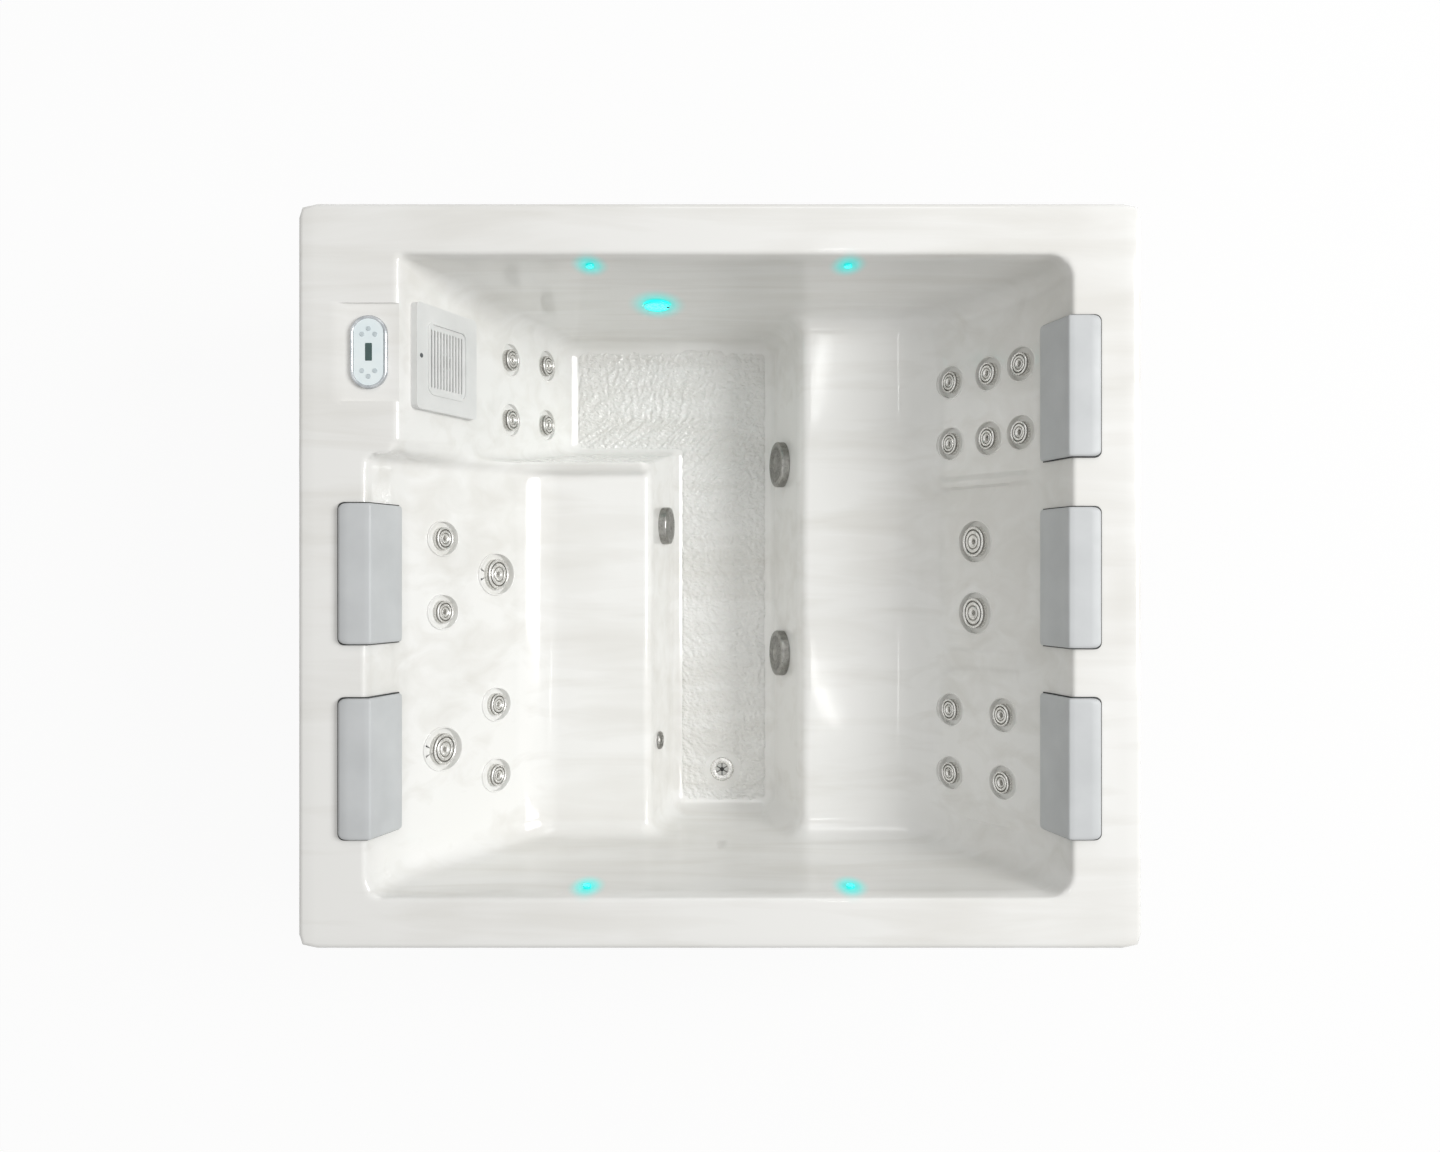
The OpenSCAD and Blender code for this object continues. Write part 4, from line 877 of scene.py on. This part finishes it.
def buildDrain():
    # a grate ring round a well with bars and a hub; the well is painted dark as the shade down the drain
    d = drainShape
    r, top, place = d["r"], d["height"], at(d["x"], d["y"], floorZ)
    ring = spun([(r * 0.5, -0.0004), (r - 0.0012, 0.0003), (r, 0.0009), (r - 0.0006, 0.0024),
                 (r - 0.004, top - 0.0008), (r - 0.007, top), (r * 0.6, top), (r * 0.54, top - 0.0012),
                 (r * 0.5, top - 0.0035)], 72)
    ring.transform(place)
    fitPiece(ring, "drain_grate", steel, 35, "tub", "chrome", "floor_drain")
    well = spun([(0, -0.0105), (r * 0.53, -0.0105), (r * 0.53, 0.0022), (r * 0.5, 0.0022), (r * 0.5, -0.0085),
                 (0, -0.0085)], 48)
    for k in range(d["bars"]):
        bar = block((-0.0013, 0.004, 0.0006), (0.0013, r * 0.51, top - 0.0022), 0.0005)
        merge(well, bar, turned(360 * k / d["bars"], "Z"))
    merge(well, spun([(0, 0.0006), (0.0065, 0.0006), (0.0065, top - 0.0022), (0.0052, top - 0.0014),
                      (0, top - 0.0012)], 32))
    well.transform(place)
    fitPiece(well, "drain_well", darkPlasticAndDrainShade, 35, "tub", "chrome")


def buildLamps():
    lenses, rings = bmesh.new(), bmesh.new()
    for spot in lampSpots:
        r, place = spot[3], onEnd(*lampPlace(spot), spot[2])
        merge(lenses, spun([(0, 0.0002), (r * 0.9, 0.0002), (r * 0.88, 0.0024), (r * 0.8, 0.0034), (r * 0.5, 0.0041),
                            (r * 0.44, 0.0034), (r * 0.38, 0.0041), (0, 0.0044)], 40), place)
        merge(rings, spun([(r * 0.88, 0.0002), (r, 0.0002), (r, 0.0012), (r * 0.97, 0.0034), (r * 0.93, 0.0040),
                           (r * 0.89, 0.0034)], 40), place)
    fitPiece(lenses, "lamp_lenses", lampLens, 30, "tub", "lens", "lights")
    fitPiece(rings, "lamp_rings", acrylicWhite, 35, "tub", "shell")
    # the sensor bead on the main lens, the last of the lamps
    bead = spun([(0, 0.0036), (0.0042, 0.0036), (0.0042, 0.0050), (0.0034, 0.0058), (0, 0.0062)], 24)
    bead.transform(place @ at(0.031, 0, 0))
    fitPiece(bead, "lamp_bead", darkPlasticAndDrainShade, 35, "tub", "chrome")


buildSuction()
buildReturn()
buildDrain()
buildLamps()
print("footwell fittings and lamps ready")

# skimmer cover: a plate with a raised square ring round a slotted pocket
coverShape = dict(height=0.260, width=0.276, thick=0.020, corner=0.014, lift=0.0003, ring=0.171, wider=0.022,
                  ringCorner=0.024, ringRise=0.003, pocket=0.157, pocketCorner=0.018, pocketDepth=0.003,
                  slots=11, slot=0.005, slotLength=0.131, under=0.099, underDepth=0.014, edge=0.0022,
                  latch=-0.112, overlap=0.01)


def buildSkimmer():
    c = coverShape
    bm = prism(roundBox(c["height"], c["width"], c["corner"]), c["thick"])
    bm.transform(at(0, 0, c["lift"]))
    cover = makePiece(bm, "skimmer_plate", coverPlastic, 30)
    ring = prism(roundBox(c["ring"], c["ring"] + c["wider"], c["ringCorner"]), c["ringRise"] + c["overlap"])
    ring.transform(at(0, 0, c["thick"] - c["overlap"] + c["lift"]))
    combine(cover, ring, "UNION")
    cuts = prism(roundBox(c["pocket"], c["pocket"] + c["wider"], c["pocketCorner"]), 0.02)
    cuts.transform(at(0, 0, c["thick"] - c["pocketDepth"] + c["lift"]))
    combine(cover, cuts)
    combine(cover, drum(c["under"], -c["overlap"], c["underDepth"], 72))
    slots = bmesh.new()
    for i in range(c["slots"]):
        x = (i - (c["slots"] - 1) / 2) * c["slotLength"] / (c["slots"] - 1)
        slot = prism(stadium(c["slot"], c["slotLength"] + c["wider"], 6), 0.05)
        merge(slots, slot, at(x, 0, -c["overlap"]))
    combine(cover, slots)
    latch = spun([(0, 0.0), (0.006, 0.0), (0.006, 0.0012), (0.005, 0.002), (0, 0.0022)], 24)
    latch.transform(skimmerPlace @ at(c["latch"], 0, c["thick"]))
    fitPiece(latch, "skimmer_latch", louvreShade, 35, "filter_unit", "grille")
    cover.data.transform(skimmerPlace)
    bevel = cover.modifiers.new("edges", "BEVEL")
    bevel.width = c["edge"]
    bevel.segments = 3
    bevel.limit_method = "ANGLE"
    bevel.angle_limit = math.radians(50)
    bevel.use_clamp_overlap = True
    smooth(cover, 35)
    dress(cover, "filter_unit", "grille", "skimmer_cover")


buildSkimmer()
print("skimmer ready")

# control panel: oval bezel, screen and six caps on the CAD face
controlShape = dict(x=-0.8937, y=0.570, floor=0.894, width=0.095, length=0.187, height=0.011, rim=0.009,
                    faceHeight=0.008, screenWidth=0.0176, screenLength=0.0451, key=0.0062, keyTop=0.0095)
keySpots = [(-0.0165, 0.045), (0, 0.059), (0.0165, 0.045), (-0.0165, -0.048), (0, -0.062), (0.0165, -0.048)]


def buildControls():
    c = controlShape
    place = at(c["x"], c["y"], c["floor"])
    # bezel: ovals joined to a ring, from the outer foot over the crown to the inner foot
    w, l, h, r = c["width"], c["length"], c["height"], c["rim"]
    ovals = [[(x, y, z) for x, y in stadium(w - 2 * inset, l - 2 * inset, 24)] for inset, z in [
        (0, 0.0002), (0, h - 0.0045), (0.0008, h - 0.002), (0.0028, h - 0.0004), (0.0048, h),
        (0.0066, h - 0.0006), (r - 0.0010, h - 0.0022), (r, h - 0.004), (r, 0.0002)]]
    bezel = lofted(ovals, ring=True)
    bezel.transform(place)
    fitPiece(bezel, "control_frame", bezelMetal, 35, "tub", "control", "control_bezel")
    screen = prism(roundBox(c["screenWidth"], c["screenLength"], 0.0022), 0.0005)
    rounded(screen, [e for e in screen.edges if all(v.co.z > 0.0004 for v in e.verts)], 0.0002)
    screen.transform(place @ at(0, 0, c["faceHeight"] - 0.0006))
    fitPiece(screen, "control_screen", screenGlass, 35, "tub", "display")
    r, top = c["key"], c["keyTop"]
    for i, (x, y) in enumerate(keySpots, 1):
        cap = spun([(0, top - 0.006), (r * 0.8, top - 0.006), (r * 0.8, top - 0.0022), (r, top - 0.0019),
                    (r, top - 0.0009), (r * 0.94, top - 0.0003), (r * 0.84, top), (r * 0.78, top - 0.0002),
                    (r * 0.74, top - 0.0006), (r * 0.5, top - 0.0003), (0, top - 0.0001)], 36)
        cap.transform(place @ at(x, y, 0))
        fitPiece(cap, f"button_{i}_cap", keyCap, 40, f"button_{i}", "button", f"button_{i}")


buildControls()
print("controls ready")

# headrests: moulded foam over the rim and the seat back, each on a thin dark gasket
# slices: distance from an end, and how far the outline draws in there
cushionShape = dict(crown=0.0022, corner=0.017, off=0.0004, gasketOut=0.0032, gasketThick=0.0045, middleSlices=14,
                    slices=[(0.0, 0.0042), (0.0010, 0.0022), (0.0028, 0.0010), (0.006, 0.0003), (0.010, 0.0),
                            (0.0135, 0.0), (0.018, 0.0)])


def cornerPull(distance):
    # how far the outer edge draws in near an end
    r = cushionShape["corner"]
    return r - math.sqrt(max(0, r * r - (r - min(distance, r)) ** 2))


def padSection(side, k, crown, pull):
    # outline in X and Z, for a pad over the rim at the wall's top and down the seat back, drawn in by k
    p, off = padShape, cushionShape["off"]
    rim = seatBack(side, rimZ)
    far = rim + p["reach"] - pull
    top, foot = rimZ + p["rise"] - k, rimZ - p["drop"] + k

    def face(z):
        return seatBack(side, z, p["thick"] - k + (crown if 0.79 < z < rimZ else 0))

    return ([(far - k, rimZ + off), (far - k, top - 0.010), (far - 0.0028 - k, top - 0.0035),
             (far - 0.0085 - k, top - 0.0004), (rim + (far - rim) * 0.6, top), (rim + (far - rim) * 0.3, top),
             (rim + 0.004, top), (rim - 0.0095 + k, top - 0.0002), (rim - 0.0132 + k, top - 0.0014),
             (rim - 0.0152 + k, top - 0.0045)]
            + [(face(z), z) for z in (0.89, 0.86, 0.82, 0.795)]
            + [(face(foot + 0.010) + 0.0004, foot + 0.010), (face(foot + 0.004) + 0.002, foot + 0.0035),
               (face(foot) + 0.0065, foot)]
            + [(seatBack(side, z, off), z) for z in (foot + 0.0002, 0.82, 0.86)]
            + [(seatBack(side, 0.896, off), 0.8975), (rim + 0.0035, rimZ + off), (rim + 0.03, rimZ + off)])


def buildPad(name, side, y):
    c, p, half = cushionShape, padShape, padShape["length"] / 2
    end, count = c["slices"][-1][0], c["middleSlices"]
    places = [(-half + d, k) for d, k in c["slices"]]
    places += [(-half + end + 2 * (half - end) * i / count, 0) for i in range(1, count)]
    places += [(half - d, k) for d, k in reversed(c["slices"])]
    sections = []
    for along, shrink in places:
        crown = c["crown"] * (1 - (along / half) ** 4)
        pull = cornerPull(half - abs(along))
        sections.append([(side * x, y + along, z) for x, z in padSection(side, shrink, crown, pull)])
    bm = lofted(sections)
    for place in pinPlaces(side, y):
        merge(bm, spun([(0, -0.028), (0.0035, -0.028), (p["pin"], -0.0262), (p["pin"], 0.0012), (0, 0.0012)], 24),
              place)
    pad = fitPiece(bm, f"headrest_{name}_foam", padVinyl, 42, f"headrest_{name}", "pad", f"headrest_{name}")


def buildGasket(name, side, y):
    # a strip under the pad that shows as a dark line round it
    c, half, rim, off = cushionShape, padShape["length"] / 2, seatBack(side, rimZ), cushionShape["off"]
    out, thick, foot = c["gasketOut"], c["gasketThick"], rimZ - padShape["drop"] - 0.0006
    top = rimZ + thick
    sections = []
    for d in (0, 0.0008, 0.0024, 0.006, 0.011, 0.017):
        far = rim + padShape["reach"] + out - cornerPull(d)
        sections.append((d, [
            (far, rimZ + 0.0003), (far, top - 0.0008), (far - 0.0008, top), (rim - 0.001, top),
            (seatBack(side, 0.896, thick), 0.8965), (seatBack(side, foot, thick), foot + 0.0006),
            (seatBack(side, foot, thick - 0.0006), foot), (seatBack(side, foot, off), foot),
            (seatBack(side, 0.896, off), 0.8972), (rim + 0.0035, rimZ + 0.0003)]))
    ends = [(-half - out + d, s) for d, s in sections] + [(half + out - d, s) for d, s in reversed(sections)]
    sections = [[(side * x, y + along, z) for x, z in s] for along, s in ends]
    fitPiece(lofted(sections), f"headrest_{name}_gasket", gasketRubber, 35, f"headrest_{name}", "pad")


for name, (side, y) in padSpots.items():
    buildPad(name, side, y)
    buildGasket(name, side, y)
print("headrests ready")

# cabinet: eight embossed boards a side on a backing of the same finish
# sides: the CAD node, the low and the high corner in plan, and the axis and the sign that the boards face
cabinetShape = dict(
    boards=8, back=0.0035, gap=0.0022, edge=0.0026, low=0.0603, high=0.848, spout=0.024, spoutY=-0.655,
    spoutZ=0.088, screwY=0.6, screwZ=(0.12, 0.728), screw=0.009,
    sides=[("panel_front", (-0.9947, -0.925), (0.9947, -0.915), 1, -1),
           ("panel_rear", (-0.9947, 0.915), (0.9947, 0.925), 1, 1),
           ("panel_right", (1.040, -0.8697), (1.050, 0.8697), 0, 1),
           ("service_panel", (-1.050, -0.8697), (-1.0403, 0.8697), 0, -1)])


def pierced(bm, hole):
    # a solid with a round hole through it
    radius, place = hole
    piece = makePiece(bm, "pierced", cabinetBoards)
    drill = drum(radius, -0.03, 0.03, 48)
    drill.transform(place)
    combine(piece, drill)
    bm = bmesh.new()
    bm.from_mesh(piece.data)
    bpy.data.objects.remove(piece)
    return bm


def boardSide(low, high, axis, sign, hole):
    # a backing and its boards, which face along sign times the axis; hole goes through the lowest board
    c = cabinetShape
    bm = bmesh.new()
    split = low[axis] + c["back"] if sign > 0 else high[axis] - c["back"]

    def addSlab(z0, z1, outer, edge, drilled):
        a, b = [*low, z0], [*high, z1]
        (a if outer == (sign > 0) else b)[axis] = split
        slab = block(a, b, edge, 3)
        merge(bm, pierced(slab, hole) if drilled else slab)

    addSlab(c["low"], c["high"], False, 0, hole)
    tall = (c["high"] - c["low"]) / c["boards"]
    for i in range(c["boards"]):
        z0, z1 = c["low"] + i * tall + c["gap"] / 2, c["low"] + (i + 1) * tall - c["gap"] / 2
        addSlab(z0 if i else c["low"], z1 if i < c["boards"] - 1 else c["high"], True, c["edge"],
                hole and i == 0)
    return bm


def buildCabinet():
    c = cabinetShape
    hole = (c["spout"], at(-1.045, c["spoutY"], c["spoutZ"]) @ turned(90, "Y"))
    for node, low, high, axis, sign in c["sides"]:
        service = node == "service_panel"
        bm = boardSide(low, high, axis, sign, hole if service else None)
        fitPiece(bm, "boards_" + node.replace("panel", "").strip("_"), cabinetBoards, 30,
                 node if service else "tub", "cabinet", node)
    screws = bmesh.new()
    for y in (-c["screwY"], c["screwY"]):
        for z in c["screwZ"]:
            head = spun([(0.0, 0.0010), (0.0016, 0.0010), (0.0016, 0.0024), (0.0055, 0.0028), (0.0078, 0.0018),
                         (c["screw"], 0.0004), (c["screw"], -0.0006), (0, -0.0006)], 36)
            for turn in (0, 90):
                # raised lands beside the drive recess
                merge(head, block((-0.0042, -0.0006, 0.0022), (0.0042, 0.0006, 0.0030), 0.0001), turned(turn, "Z"))
            merge(screws, head, at(-1.050, y, z) @ turned(-90, "Y"))
    fitPiece(screws, "service_screws", steel, 35, "service_panel", "cabinet")


cornerShape = dict(x=1.055, y=0.930, leg=0.060, wall=0.005, outer=0.014, low=0.0602, high=0.848, edge=0.0012)


def buildCorners():
    # four upright covers, an L in plan with a round outer edge and a chamfered end on each leg
    c = cornerShape
    ox, oy, leg, wall, outer, edge = (c[key] for key in ("x", "y", "leg", "wall", "outer", "edge"))
    bm = bmesh.new()
    outline = [(ox - leg, oy - wall), (ox - leg, oy - edge), (ox - leg + edge, oy)]
    for i in range(9):
        a = math.radians(90 - 90 * i / 8)
        outline.append((ox - outer + outer * math.cos(a), oy - outer + outer * math.sin(a)))
    outline += [(ox, oy - leg + edge), (ox - edge, oy - leg), (ox - wall, oy - leg), (ox - wall, oy - wall)]
    for sx in (-1, 1):
        for sy in (-1, 1):
            cover = prism(outline, c["high"] - c["low"])
            cover.transform(at(0, 0, c["low"]) @ Matrix.Diagonal((sx, sy, 1, 1)))
            faceOut(cover)
            merge(bm, cover)
    fitPiece(bm, "corner_trims", cornerPlastic, 35, "tub", "corner", "corner_covers")


buildCabinet()
buildCorners()
print("cabinet ready")

# parts behind the shell keep their CAD shape
nodeFinish = dict(base_pan=panPlastic, support_frame=timberWood, jet_bodies=pipePlastic, jet_hoses=hoseVinyl,
                  skimmer_housing=pipePlastic, filter_cartridge=pleatPaper, display_panel=facePlate,
                  pump_wet_end=pumpPlastic, pump_motor=motorPaint, pump_rotor=darkSteel, heater_tube=steel,
                  control_box=boxPlastic, pipework=pipePlastic, drain_valve=pipePlastic, drain_knob=knobPlastic)
for name, material in nodeFinish.items():
    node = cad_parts[name]
    node.data.materials.clear()
    node.data.materials.append(material)
print("node materials ready")

# pale floor and plain soft light, the key from the right
white = (1.0, 1.0, 1.0)
stageLook = dict(floor=(238, 238, 238), showWhite=0.93, zenith=0.61, zenithFrom=0.9, horizon=0.05,
                 fill=(1.0, 0.987, 0.962))
lamps = dict(
    key=dict(place=(7.0, 1.2, 7.0), aim=(-0.3, 0.0, 0.5), size=(4.0, 4.0), watts=555, tint=(1.0, 1.0, 0.995)),
    rear=dict(place=(0.8, 5.5, 5.5), aim=(0.0, 0.0, 0.4), size=(3.0, 2.4), watts=38, tint=white),
    windowUpper=dict(place=(0.602, 1.27, 3.9), aim=(0.55, 1.0, 0.5), size=(0.055, 0.62), watts=1.1, tint=white),
    windowLower=dict(place=(0.602, -0.66, 3.9), aim=(0.55, -0.5, 0.5), size=(0.06, 0.52), watts=1.1, tint=white))


def showWhite(tree, kind, plain, share, output):
    # white for the camera, a mirror or clear plastic; plain for all other rays
    ray = add(tree, "LightPath").outputs
    seen = maths(tree, "MAXIMUM", ray["Is Camera Ray"], ray["Is Glossy Ray"])
    seen = maths(tree, "MAXIMUM", seen, ray["Is Transmission Ray"])
    bright = add(tree, kind, {"Color": (*white, 1), "Strength": 1}).outputs[0]
    mixed = add(tree, "MixShader", {0: maths(tree, "MULTIPLY", seen, share), 1: plain, 2: bright}).outputs[0]
    wire(tree, tree.nodes[output], {"Surface": mixed})


def buildStage():
    s = stageLook
    bm = bmesh.new()
    ops.create_grid(bm, x_segments=2, y_segments=2, size=30)
    ops.translate(bm, verts=bm.verts, vec=(0, 0, -0.0004))
    material, tree, shader = blank("floor")
    wire(tree, shader, {"Base Color": tone(*s["floor"]), "Roughness": 0.9, "Specular IOR Level": 0.1})
    showWhite(tree, "Emission", shader.outputs[0], s["showWhite"], "Material Output")
    material.cycles.emission_sampling = "NONE"
    makePiece(bm, "floor", material, 30)
    world = bpy.data.worlds.new("studio")
    bpy.context.scene.world = world
    world.use_nodes = True
    tree = world.node_tree
    # the sky is brightest overhead
    up = add(tree, "SeparateXYZ", {"Vector": add(tree, "TexCoord").outputs["Generated"]}).outputs["Z"]
    level = spread(tree, up, s["horizon"], s["zenith"], 0, s["zenithFrom"], interpolation_type="SMOOTHSTEP")
    sky = tree.nodes["Background"]
    wire(tree, sky, {"Color": (*s["fill"], 1), "Strength": level})
    showWhite(tree, "Background", sky.outputs[0], 1, "World Output")
    for name, l in lamps.items():
        light = bpy.data.lights.new(name, "AREA")
        light.shape = "RECTANGLE"
        light.size, light.size_y = l["size"]
        light.energy = l["watts"]
        light.color = l["tint"]
        lamp = bpy.data.objects.new(name, light)
        lamp.location = l["place"]
        way = Vector(l["aim"]) - Vector(l["place"])
        lamp.rotation_euler = way.to_track_quat("-Z", "Y").to_euler()
        bpy.context.scene.collection.objects.link(lamp)


buildStage()
print("stage and lights ready")
